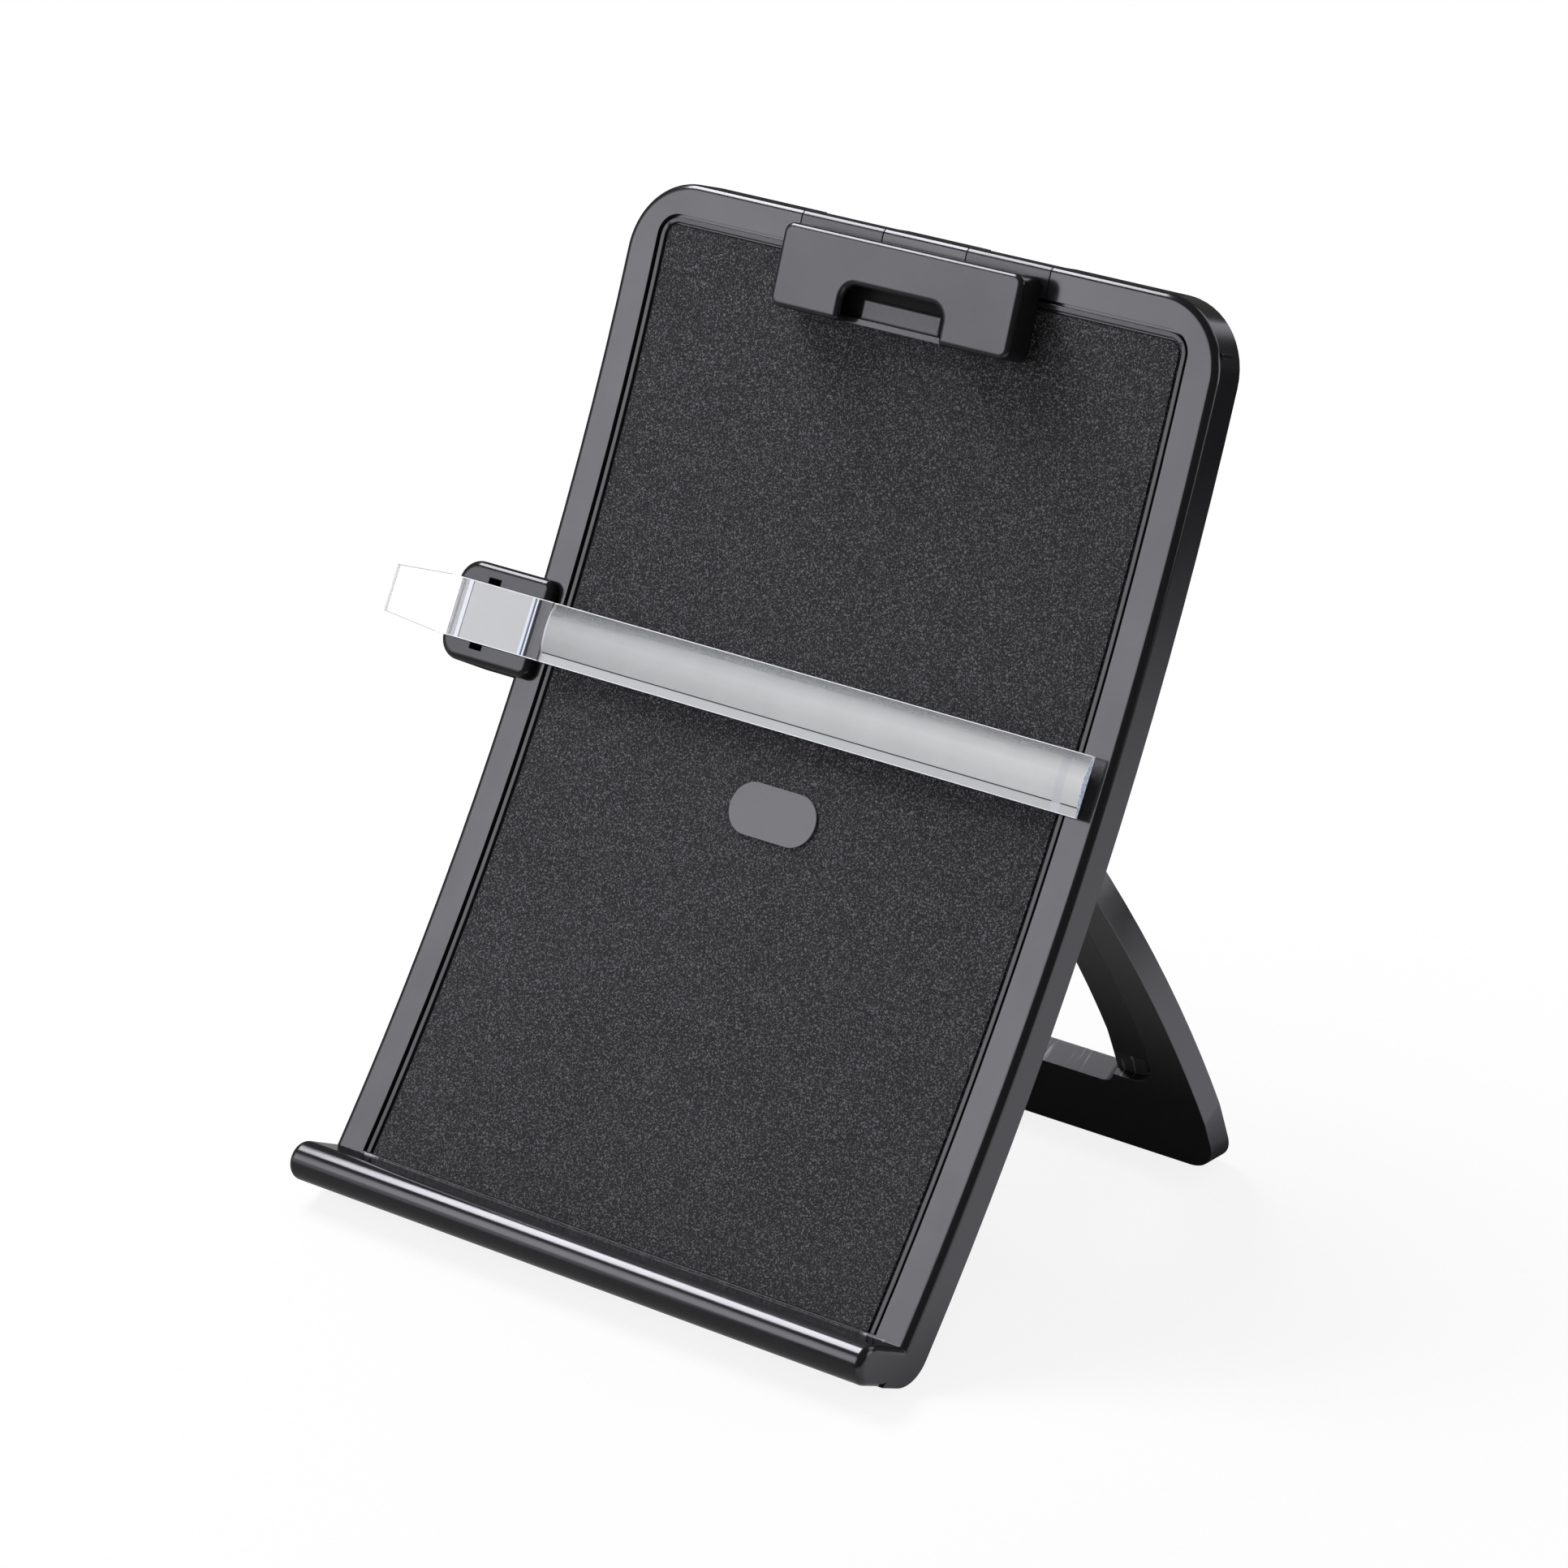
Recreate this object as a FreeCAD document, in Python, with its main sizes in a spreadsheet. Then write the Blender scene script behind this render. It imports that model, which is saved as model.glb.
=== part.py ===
import FreeCAD, Part
import math
import os
import re
import Sketcher

# Copy holder with a sliding line guide, millimetres.
#
# The board is a shallow arc, hollow towards the reader. Its faces are concentric with
# one axis that runs along X in front of the board: the arc centre. A place on the board
# is given by X, by its depth behind the front panel's surface and by its arc length up
# the board from the paper shelf.
#
# Frame of the part: X across to the right, Y to the back, Z up, origin on the desk under
# the middle of the board's bottom edge.

SIZES = {
    # board
    "board_width": 240.0,
    "board_rise": 341.0,
    "arc_radius": 975.0,
    "tilt": 38.6,
    "rim_step": 0.5,
    "board_depth": 13.5,
    "rim_width": 12.1,
    "rim_top": 10.85,
    "corner_radius": 25.0,
    "edge_round": 2.5,
    "recess_corner": 8.0,
    "wall": 2.4,
    "floor_wall": 1.6,
    "rib_wall": 1.6,
    "rib_rise": 4.5,
    "rib_start": 12.0,
    "hollow_start": 0.8,
    # bottom hook with the paper shelf and its lip
    "heel_radius": 12.5,
    "heel_drop": 0.7,
    "lip_radius": 6.65,
    "lip_reach": 13.8,
    "lip_drop": 10.8,
    # front panel and plaque
    "panel_wall": 1.6,
    "panel_gap": 1.0,
    "panel_round": 0.35,
    "bead_width": 1.9,
    "groove_width": 1.0,
    "groove_sink": 0.9,
    "field_sink": 0.3,
    "plaque_width": 35.0,
    "plaque_rise": 17.7,
    "plaque_wall": 0.8,
    "plaque_arc": 147.3,
    # clip and its hinge
    "hinge_half": 50.8,
    "knuckle_half": 16.7,
    "hinge_gap": 0.4,
    "knuckle_gap": 2.0,
    "barrel_radius": 6.2,
    "hinge_pin_radius": 1.5,
    "hinge_pin_seat": 1.7,
    "arm_round": 4.0,
    "clip_half": 48.5,
    "clip_rise": 28.0,
    "clip_above": 2.2,
    "clip_height": 11.9,
    "clip_wall": 2.0,
    "clip_corner": 3.5,
    "clip_round": 1.8,
    "notch_half": 20.5,
    "notch_rise": 12.5,
    "notch_corner": 5.0,
    "notch_round": 1.4,
    "grip_height": 5.0,
    "grip_rise": 6.8,
    "grip_pad_half": 16.0,
    "grip_step": 2.2,
    "grip_round": 0.8,
    "spring_wire": 0.9,
    "spring_turns": 5.0,
    "spring_pitch": 1.12,
    # slider
    "slider_arc": 183.8,
    "slider_rise": 34.6,
    "slider_width": 40.0,
    "slider_reach": 31.0,
    "slider_height": 5.0,
    "slider_depth": 16.0,
    "slider_corner": 8.0,
    "slider_inner_corner": 3.5,
    "slider_round": 2.6,
    "slider_split": 6.0,
    "cover_round": 1.2,
    "catch_drop": 3.0,
    "catch_wall": 2.0,
    "channel_sink": 1.0,
    "window_width": 5.3,
    "window_rise": 2.2,
    "window_reach": 14.8,
    "hook_wall": 1.2,
    "hook_drop": 4.0,
    "slide_gap": 0.3,
    "glide_sink": 0.6,
    "glide_inset": 1.0,
    "spring_inset": 1.6,
    "leaf_room": 3.2,
    "leaf_wall": 0.4,
    "leaf_bow": 2.6,
    "screw_radius": 1.25,
    "screw_head_radius": 2.5,
    "screw_head_wall": 2.0,
    "screw_slot": 0.7,
    "screw_sink": 3.0,
    "screw_tip": 2.5,
    # guide bar
    "bar_rise": 20.3,
    "bar_right": 114.5,
    "tab_reach": 56.4,
    "tab_rise": 16.4,
    "bar_wall": 2.2,
    "bar_shoulder": 1.5,
    "lens_start": 3.5,
    "lens_edge": 1.3,
    "lens_middle": 2.7,
    "lens_flange": 3.0,
    "saddle_wall": 1.6,
    "saddle_drop": 2.4,
    # leg
    "leg_pin_arc": 190.0,
    "leg_pin_depth": 8.3,
    "leg_pin_radius": 1.5,
    "leg_pin_reach": 11.0,
    "leg_opening": 58.5,
    "leg_wall": 9.5,
    "leg_top_half": 75.0,
    "leg_side_gap": 10.6,
    "leg_side_bow": 4.3,
    "leg_foot_corner": 11.0,
    "leg_knee": 22.0,
    "leg_shoulder": 13.0,
    "leg_foot_bar": 28.5,
    "leg_limb": 34.7,
    "leg_limb_taper": 2.4,
    "leg_top_bar": 40.0,
    "leg_window_bow": 2.5,
    "leg_window_corner": 6.0,
    "leg_step_width": 17.3,
    "leg_step_start": 33.0,
    "leg_step_corner": 10.0,
    "leg_step_sink": 3.0,
    "stop_heel": 5.0,
    "stop_heel_half": 60.0,
    "bracket_wall": 4.0,
    "bracket_radius": 4.2,
    # feet and fits
    "foot_proud": 0.6,
    "foot_seat": 2.0,
    "foot_strip_half": 95.0,
    "foot_width": 8.0,
    "pad_length": 18.0,
    "pad_width": 4.0,
    "pad_inset": 22.0,
    "fit_gap": 0.3,
    "run_gap": 0.06,
}

# Sizes that follow from the ones above.
DERIVED = {
    "half_width": "board_width / 2",
    "rim_face": "-rim_step",
    "back_edge": "board_depth - rim_step",
    "floor_front": "panel_wall",
    "floor_back": "panel_wall + floor_wall",
    "recess_half": "half_width - rim_width",
    "recess_end": "board_rise - rim_top",
    "panel_half": "recess_half - panel_gap",
    "panel_end": "recess_end - panel_gap",
    "heel_depth": "back_edge - heel_radius",
    "base_turn": "-tilt - heel_drop / arc_radius * 180 / pi",
    "centre_y": "-(arc_radius + heel_depth) * cos(base_turn)",
    "centre_z": "heel_radius + foot_proud - (arc_radius + heel_depth) * sin(base_turn)",
    "pin_depth": "back_edge - board_depth / 2",
    "pin_arc": "board_rise - board_depth / 2",
    "pin_turn": "pin_arc / arc_radius * 180 / pi - tilt",
    "arm_inner": "knuckle_half + hinge_gap",
    "arm_outer": "hinge_half - hinge_gap",
    "clip_face": "-pin_depth - clip_height",
    "clip_low": "clip_above - clip_rise",
    "clip_rim_back": "-pin_depth - rim_step - slide_gap",
    "clip_panel_back": "-pin_depth - slide_gap * 2",
    "rim_ledge": "recess_end - pin_arc",
    "spring_length": "spring_pitch * spring_turns + spring_wire",
    "knuckle_sweep": "(board_depth / 2 - edge_round) * 1.4143 + edge_round + slide_gap",
    "slider_left": "-half_width - slider_reach",
    "slider_right": "slider_left + slider_width",
    "slider_half": "slider_rise / 2",
    "edge_clear": "half_width + slide_gap",
    "channel_half": "bar_rise / 2 + fit_gap / 2",
    "bar_back": "-slider_height + channel_sink",
    "window_middle": "-half_width - window_reach",
    "screw_x": "(window_middle + window_width / 2 - edge_clear - leaf_room) / 2",
    "screw_arc": "slider_half * 0.75",
    "glide_left": "-half_width + edge_round",
    "glide_right": "slider_right - glide_inset",
    "glide_high": "slider_half - slider_inner_corner",
    "glide_low": "channel_half + glide_inset / 2",
    "leg_turn": "leg_pin_arc / arc_radius * 180 / pi - tilt",
    "leg_pin_y": "centre_y + (arc_radius + leg_pin_depth) * cos(leg_turn)",
    "leg_pin_z": "centre_z + (arc_radius + leg_pin_depth) * sin(leg_turn)",
    "leg_centre": "arc_radius + leg_pin_depth",
    "leg_front_radius": "leg_centre - leg_wall / 2",
    "leg_rear_radius": "leg_centre + leg_wall / 2",
    "leg_lean": "leg_turn + leg_opening",
    "leg_foot_half": "half_width - wall - leg_side_gap",
    "pad_y": "leg_pin_y + leg_centre * cos(leg_lean) * (cos(leg_foot_turn) - 1)"
             " + leg_centre * sin(leg_lean) * sin(leg_foot_turn)",
    "leg_foot_turn": "leg_lean - asin((leg_centre * sin(leg_lean) - leg_pin_z + foot_proud)"
                     " / leg_centre) / 1deg",
}


def expr(text):
    """Text of a formula with every name replaced by its sheet cell or its own formula."""
    def swap(match):
        name = match.group(0)
        if name in SIZES:
            return "Sizes." + name
        if name in DERIVED:
            return "(" + expr(DERIVED[name]) + ")"
        return name
    return re.sub(r"[a-z_]+", swap, str(text))


def value(text):
    """Number that a formula gives with the sheet's present sizes."""
    return float(sheet.evalExpression(expr(text)))


def on_arc(depth, arc, radius="arc_radius", shift="0"):
    """Formulas of the y and z of a point at this depth and arc length from the arc centre."""
    reach = f"({radius} + {depth})"
    turn = f"(({arc}) / arc_radius * 180 / pi)"
    return f"{reach} * cos({turn}) - ({shift})", f"{reach} * sin({turn})"


# ---------------------------------------------------------------- document and helpers

doc = FreeCAD.newDocument("CopyHolder")
sheet = doc.addObject("Spreadsheet::Sheet", "Sizes")
for row, (name, number) in enumerate(SIZES.items(), start=1):
    sheet.set(f"A{row}", str(number))
    sheet.setAlias(f"A{row}", name)
doc.recompute()

pieces = []


def new_body(label, y="centre_y", z="centre_z", turn="-tilt"):
    """Body whose local frame stands at (0, y, z), turned about X."""
    body = doc.addObject("PartDesign::Body", label)
    body.Label = label
    place(body, y, z, turn)
    doc.recompute()
    pieces.append(body)
    return body


def place(item, y, z, turn):
    item.Placement = FreeCAD.Placement(FreeCAD.Vector(), FreeCAD.Rotation(FreeCAD.Vector(1, 0, 0), 1))
    item.setExpression(".Placement.Base.y", expr(y))
    item.setExpression(".Placement.Base.z", expr(z))
    item.setExpression(".Placement.Rotation.Angle", expr(turn))


def new_sketch(body, name, role="YZ_Plane", offset="0"):
    """Sketch on one of the body's own planes, moved along that plane's normal."""
    plane = next(item for item in body.Origin.OriginFeatures if item.Role == role)
    sketch = body.newObject("Sketcher::SketchObject", name)
    sketch.AttachmentSupport = [(plane, "")]
    sketch.MapMode = "FlatFace"
    sketch.setExpression(".AttachmentOffset.Base.z", expr(offset))
    return sketch


def pin_point(sketch, item, end, x, y):
    """Hold one point of the sketch at formulas x and y."""
    for kind, text in (("DistanceX", x), ("DistanceY", y)):
        number = value(text)
        if number < 0:
            index = sketch.addConstraint(Sketcher.Constraint(kind, item, end, -1, 1, -number))
            sketch.setExpression(f"Constraints[{index}]", expr(f"-({text})"))
        else:
            index = sketch.addConstraint(Sketcher.Constraint(kind, -1, 1, item, end, number))
            sketch.setExpression(f"Constraints[{index}]", expr(text))


def draw(sketch, path):
    """Closed outline. Each corner is (y, z), or (y, z, centre y, centre z, turn) where the
    edge that leaves it is an arc: turn is 1 for counter-clockwise and -1 for clockwise."""
    points = [FreeCAD.Vector(value(corner[0]), value(corner[1]), 0) for corner in path]
    ends = []
    for here, corner in enumerate(path):
        start = points[here]
        finish = points[(here + 1) % len(path)]
        if len(corner) == 2:
            index = sketch.addGeometry(Part.LineSegment(start, finish))
            ends.append((index, 1, 2))
            continue
        middle = FreeCAD.Vector(value(corner[2]), value(corner[3]), 0)
        circle = Part.Circle(middle, FreeCAD.Vector(0, 0, 1), (start - middle).Length)
        angles = [math.atan2(p.y - middle.y, p.x - middle.x) for p in (start, finish)]
        if corner[4] > 0:
            index = sketch.addGeometry(Part.ArcOfCircle(circle, angles[0], angles[1]))
            ends.append((index, 1, 2))
        else:
            index = sketch.addGeometry(Part.ArcOfCircle(circle, angles[1], angles[0]))
            ends.append((index, 2, 1))
        reach = f"sqrt((({corner[0]}) - ({corner[2]}))^2 + (({corner[1]}) - ({corner[3]}))^2)"
        radius = sketch.addConstraint(Sketcher.Constraint("Radius", index, value(reach)))
        sketch.setExpression(f"Constraints[{radius}]", expr(reach))
    for here, (index, first, last) in enumerate(ends):
        following = ends[(here + 1) % len(ends)]
        sketch.addConstraint(Sketcher.Constraint("Coincident", index, last, following[0], following[1]))
        pin_point(sketch, index, first, path[here][0], path[here][1])


def draw_circle(sketch, x, y, radius):
    circle = Part.Circle(FreeCAD.Vector(value(x), value(y), 0), FreeCAD.Vector(0, 0, 1), value(radius))
    index = sketch.addGeometry(circle)
    pin_point(sketch, index, 3, x, y)
    size = sketch.addConstraint(Sketcher.Constraint("Radius", index, value(radius)))
    sketch.setExpression(f"Constraints[{size}]", expr(radius))


def extrude(body, kind, name, sketch, length, backwards=False):
    """Pad or pocket along the sketch's normal; it must change the body's volume."""
    before = body.Shape.Volume if not body.Shape.isNull() else 0.0
    feature = body.newObject(f"PartDesign::{kind}", name)
    feature.Profile = sketch
    feature.setExpression("Length", expr(length))
    feature.Reversed = backwards != (kind == "Pocket")
    doc.recompute()
    change = body.Shape.Volume - before
    if (kind == "Pad") != (change > 0) or abs(change) < 1e-6:
        raise RuntimeError(f"{body.Label}: {name} changed the volume by {change:.3f}")
    return feature


def side_shape(body, kind, name, path, x_low, x_high):
    """Pad or pocket of a side outline, from X = x_low to X = x_high."""
    sketch = new_sketch(body, name + "_outline", "YZ_Plane", x_low)
    draw(sketch, path)
    return extrude(body, kind, name, sketch, f"({x_high}) - ({x_low})")


def side_hole(body, name, y, z, radius, x_low, x_high):
    """Round hole along X."""
    sketch = new_sketch(body, name + "_circle", "YZ_Plane", x_low)
    draw_circle(sketch, y, z, radius)
    return extrude(body, "Pocket", name, sketch, f"({x_high}) - ({x_low})")


def side_rod(body, name, y, z, radius, x_low, x_high):
    """Round rod along X."""
    sketch = new_sketch(body, name + "_circle", "YZ_Plane", x_low)
    draw_circle(sketch, y, z, radius)
    return extrude(body, "Pad", name, sketch, f"({x_high}) - ({x_low})")


def band(depth_low, depth_high, arc_low, arc_high, radius="arc_radius", shift="0"):
    """Side outline between two depths and two arc lengths, concentric with the board."""
    centre = (f"-({shift})", "0")
    low_front = on_arc(depth_low, arc_low, radius, shift)
    high_front = on_arc(depth_low, arc_high, radius, shift)
    high_back = on_arc(depth_high, arc_high, radius, shift)
    low_back = on_arc(depth_high, arc_low, radius, shift)
    return [low_front + centre + (1,), high_front, high_back + centre + (-1,), low_back]


def box(x_low, x_high, y_low, y_high):
    return [(x_low, y_low), (x_high, y_low), (x_high, y_high), (x_low, y_high)]


def three_points(edge):
    """An edge's two ends and its middle."""
    first, last = edge.ParameterRange
    return [edge.valueAt(parameter) for parameter in (first, (first + last) / 2, last)]


def spots(edge, shift=0.0):
    """X, depth and arc length of an edge's two ends and its middle."""
    radius = value("arc_radius")
    result = []
    for point in three_points(edge):
        depth = math.hypot(point.y + shift, point.z) - radius
        arc = math.atan2(point.z, point.y + shift) * radius
        result.append((point.x, depth, arc))
    return result


def near(number, text, gap=0.02):
    return abs(number - value(text)) < gap


def fillet(body, name, radius, good):
    """Fillet of the edges that pass the test."""
    base = body.Tip
    names = [f"Edge{index}" for index, edge in enumerate(base.Shape.Edges, start=1) if good(edge)]
    if not names:
        raise RuntimeError(f"{body.Label}: {name} finds no edge")
    feature = body.newObject("PartDesign::Fillet", name)
    feature.Base = (base, names)
    feature.setExpression("Radius", expr(radius))
    doc.recompute()
    if "Invalid" in feature.State:
        raise RuntimeError(f"{body.Label}: {name} fails on {names}")
    return feature


def round_edges(body, name, radius, test, shift="0"):
    """Fillet of the edges whose ends and middle pass a test of X, depth and arc length."""
    offset = value(shift)
    return fillet(body, name, radius, lambda edge: all(test(*spot) for spot in spots(edge, offset)))


def mirror(body, feature):
    """The same feature on the other side of the middle plane."""
    plane = next(item for item in body.Origin.OriginFeatures if item.Role == "YZ_Plane")
    twin = body.newObject("PartDesign::Mirrored", feature.Name + "_twin")
    twin.Originals = [feature]
    twin.MirrorPlane = (plane, [""])
    body.Tip = twin
    doc.recompute()
    return twin


def fuse_in(body, other):
    """Fuse another body, drawn in the same frame, into this one."""
    join = body.newObject("PartDesign::Boolean", other.Name + "_join")
    join.Type = "Fuse"
    join.setObjects([other])
    body.Tip = join
    doc.recompute()


# ---------------------------------------------------------------- board

def tangent_line(y_one, z_one, r_one, y_two, z_two, r_two):
    """Lower outer tangent of two circles: formulas of its points on the first and second."""
    run = f"(({y_one}) - ({y_two}))"
    drop = f"(({z_one}) - ({z_two}))"
    slope = f"(atan({drop} / {run}) - asin((({r_one}) - ({r_two})) / sqrt({run}^2 + {drop}^2)))"
    first = (f"({y_one}) + ({r_one}) * sin({slope})", f"({z_one}) - ({r_one}) * cos({slope})")
    second = (f"({y_two}) + ({r_two}) * sin({slope})", f"({z_two}) - ({r_two}) * cos({slope})")
    return first, second


def hook_points():
    """Points of the hook's outline under the board: rim, shelf, lip, underside and heel."""
    heel = on_arc("heel_depth", "-heel_drop")
    lip = ("arc_radius - lip_reach", "-lip_drop")
    rim = on_arc("rim_face", "-heel_drop")
    heel_start, lip_end = tangent_line(*heel, "heel_radius", *lip, "lip_radius")
    run = f"(({rim[0]}) - ({lip[0]}))"
    rise = f"(({rim[1]}) - ({lip[1]}))"
    turn = f"(atan({rise} / {run}) - asin(lip_radius / sqrt({run}^2 + {rise}^2)))"
    shelf_end = (f"({lip[0]}) - lip_radius * sin({turn})", f"({lip[1]}) + lip_radius * cos({turn})")
    under = tuple(f"(({one}) + ({two})) / 2" for one, two in zip(heel_start, lip_end))
    return {"rim": rim, "shelf_end": shelf_end, "lip": lip, "lip_end": lip_end, "under": under,
            "heel_start": heel_start, "heel": heel}


def board_front():
    """Rim, front floor, shelf and lip in one outline, with one round along their outer edges."""
    body = new_body("board_moulding")
    hook = hook_points()
    centre = ("0", "0")
    side_shape(body, "Pad", "front",
               [on_arc("rim_face", "board_rise") + centre + (-1,), hook["rim"],
                hook["shelf_end"] + hook["lip"] + (1,), hook["lip_end"], hook["under"],
                on_arc("floor_back", "-heel_drop") + centre + (1,), on_arc("floor_back", "board_rise")],
               "-half_width", "half_width")
    round_edges(body, "corners", "corner_radius",
                lambda x, depth, arc: near(abs(x), "half_width") and near(arc, "board_rise"))
    low = value("-heel_drop")
    under = value(hook["under"][0])

    def outer(edge):
        x, depth, arc = spots(edge)[1]
        on_rim = arc > low + 0.01 and all(near(spot[1], "rim_face") for spot in spots(edge))
        on_hook = arc < low - 0.01 and near(abs(x), "half_width") and three_points(edge)[1].y < under
        return on_rim or on_hook

    fillet(body, "outer_edge", "edge_round", outer)
    return body


def board_rear():
    """Walls and solid heel behind the floor, in the board's own frame."""
    rear = doc.addObject("PartDesign::Body", "rear_moulding")
    hook = hook_points()
    centre = ("0", "0")
    front = "floor_back - floor_wall / 4"
    side_shape(rear, "Pad", "rear",
               [on_arc(front, "-heel_drop"), hook["under"], hook["heel_start"] + hook["heel"] + (1,),
                on_arc("back_edge", "-heel_drop") + centre + (1,), on_arc("back_edge", "board_rise"),
                on_arc(front, "board_rise") + centre + (-1,)],
               "-half_width", "half_width")
    side = "half_width - wall"
    top = "board_rise - wall"
    side_shape(rear, "Pocket", "hollow", band("floor_front", "back_edge + 2", "hollow_start", top),
               f"-({side})", side)
    round_edges(rear, "hollow_corners", "corner_radius - wall",
                lambda x, depth, arc: near(abs(x), side) and near(arc, top))
    round_edges(rear, "corners", "corner_radius",
                lambda x, depth, arc: near(abs(x), "half_width") and near(arc, "board_rise"))
    return rear


def board_shell():
    body = board_front()
    fuse_in(body, board_rear())
    side_shape(body, "Pocket", "panel_recess", band("rim_face - 2", "floor_front", "0", "recess_end"),
               "-recess_half", "recess_half")
    round_edges(body, "recess_corners", "recess_corner",
                lambda x, depth, arc: near(abs(x), "recess_half") and near(arc, "recess_end"))
    back_ribs(body)
    clip_seat(body)
    leg_brackets(body)
    cut("board_shell", body, [level_box("strip_seat", "0", "0", "foot_strip_half * 2 + fit_gap",
                                        "foot_width + fit_gap", "foot_proud + foot_seat")])


def back_ribs(body):
    """Stiffening ribs on the back of the floor, above the folded leg."""
    rib_low = "leg_pin_arc + rib_start"
    rib_high = "board_rise - rim_top - wall * 2"
    for number, share in enumerate(("-0.62", "-0.21", "0.21", "0.62"), start=1):
        middle = f"half_width * ({share})"
        side_shape(body, "Pad", f"upright_rib_{number}",
                   band("floor_back - floor_wall / 2", "floor_back + rib_rise", rib_low, rib_high),
                   f"{middle} - rib_wall / 2", f"{middle} + rib_wall / 2")
    for number, share in enumerate(("0", "0.5", "1"), start=1):
        middle = f"({rib_low}) + (({rib_high}) - ({rib_low})) * {share}"
        side_shape(body, "Pad", f"cross_rib_{number}",
                   band("floor_back - floor_wall / 2", "floor_back + rib_rise",
                        f"{middle} - rib_wall / 2", f"{middle} + rib_wall / 2"),
                   "-half_width + wall / 2", "half_width - wall / 2")


def clip_seat(body):
    """Solid block in the top edge, with two slots for the clip's arms and the pin's bore."""
    block_low = "pin_arc - barrel_radius - wall - hinge_gap"
    side_shape(body, "Pad", "hinge_block",
               band("floor_back - floor_wall / 2", "back_edge", block_low, "board_rise - edge_round"),
               "-hinge_half - wall", "hinge_half + wall")
    arm_low = "pin_arc - barrel_radius - hinge_gap"
    centre = ("0", "0")
    path = [on_arc("rim_face - 2", "recess_end - fit_gap / 2") + centre + (1,),
            on_arc("rim_face - 2", "board_rise + 2"),
            on_arc("back_edge + 2", "board_rise + 2") + centre + (-1,),
            on_arc("back_edge + 2", arm_low),
            on_arc("floor_front", arm_low),
            on_arc("floor_front", "recess_end - fit_gap / 2")]
    slot = side_shape(body, "Pocket", "arm_slot", path, "knuckle_half", "hinge_half")
    mirror(body, slot)
    side_hole(body, "hinge_bore", *on_arc("pin_depth", "pin_arc"), "hinge_pin_radius + run_gap",
              "-hinge_half - hinge_pin_seat", "hinge_half + hinge_pin_seat")


def leg_brackets(body):
    """Two ears on the floor that hold the leg's stub pins."""
    pin = on_arc("leg_pin_depth", "leg_pin_arc")
    turn = "leg_pin_arc / arc_radius * 180 / pi"
    radius = "bracket_radius"
    root = "floor_back - floor_wall / 2"
    low = "leg_pin_arc - bracket_radius * 2.5"
    high = "leg_pin_arc + bracket_radius * 2.5"
    above = (f"({pin[0]}) + {radius} * cos({turn} + 45)", f"({pin[1]}) + {radius} * sin({turn} + 45)")
    below = (f"({pin[0]}) + {radius} * cos({turn} - 45)", f"({pin[1]}) + {radius} * sin({turn} - 45)")
    path = [on_arc(root, low), below + pin + (1,), above, on_arc(root, high)]
    inner = "leg_top_half + fit_gap"
    mirror(body, side_shape(body, "Pad", "ear", path, inner, f"{inner} + bracket_wall"))
    outer = "leg_top_half + bracket_wall * 2"
    for side, low, high in (("left", f"-({outer})", "-leg_top_half"), ("right", "leg_top_half", outer)):
        side_hole(body, f"{side}_pin_bore", *pin, "leg_pin_radius + run_gap / 3", low, high)


def front_panel():
    """Front sheet: a grained field, and round it a narrow groove and a smooth bead."""
    body = new_body("front_panel")
    panel_layer(body, "Pad", "sheet", "groove_sink", "panel_wall", "0")
    panel_layer(body, "Pad", "field", "field_sink", "groove_sink", "bead_width + groove_width")
    fuse_in(body, panel_bead())


def panel_bead():
    """Smooth bead on three sides of the panel, in the panel's own frame."""
    bead = doc.addObject("PartDesign::Body", "bead")
    side_shape(bead, "Pad", "blank", band("0", "panel_wall", "fit_gap", "panel_end"),
               "-panel_half", "panel_half")
    panel_layer(bead, "Pocket", "opening", "-1", "panel_wall + 1", "bead_width")
    round_edges(bead, "corners", "recess_corner - panel_gap",
                lambda x, depth, arc: near(abs(x), "panel_half") and near(arc, "panel_end"))

    def front(x, depth, arc):
        return near(depth, "0") and (arc > value("fit_gap * 1.2") or near(abs(x), "panel_half"))

    round_edges(bead, "edges", "panel_round", front)
    return bead


def panel_layer(body, kind, name, depth_low, depth_high, inset):
    """Pad or pocket of the panel's outline, less a border of this width on three sides."""
    low = "-1" if kind == "Pocket" else "fit_gap"
    side_shape(body, kind, name, band(depth_low, depth_high, low, f"panel_end - ({inset})"),
               f"-panel_half + {inset}", f"panel_half - ({inset})")
    round_edges(body, name + "_corners", f"recess_corner - panel_gap - ({inset})",
                lambda x, depth, arc: near(abs(x), f"panel_half - ({inset})")
                and near(arc, f"panel_end - ({inset})"))


def badge_plaque():
    body = new_body("badge_plaque", turn="plaque_arc / arc_radius * 180 / pi - tilt")
    half = "plaque_rise / 2"
    end = "plaque_width / 2"
    side_shape(body, "Pad", "plate", band("field_sink - plaque_wall", "field_sink", f"-({half})", half),
               f"-({end})", end)
    round_edges(body, "ends", f"{half} - run_gap",
                lambda x, depth, arc: near(abs(x), end) and near(abs(arc), half))


def board_foot_strip():
    """Rubber strip let into the heel; the board stands on its flat underside."""
    strip = level_box("board_foot_strip", "0", "0", "foot_strip_half * 2", "foot_width",
                      "foot_proud + foot_seat")
    strip.Label = "board_foot_strip"
    pieces.append(strip)


# ---------------------------------------------------------------- clip

CLIP_PLACE = ("centre_y + (arc_radius + pin_depth) * cos(pin_turn)",
              "centre_z + (arc_radius + pin_depth) * sin(pin_turn)", "pin_turn")


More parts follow.
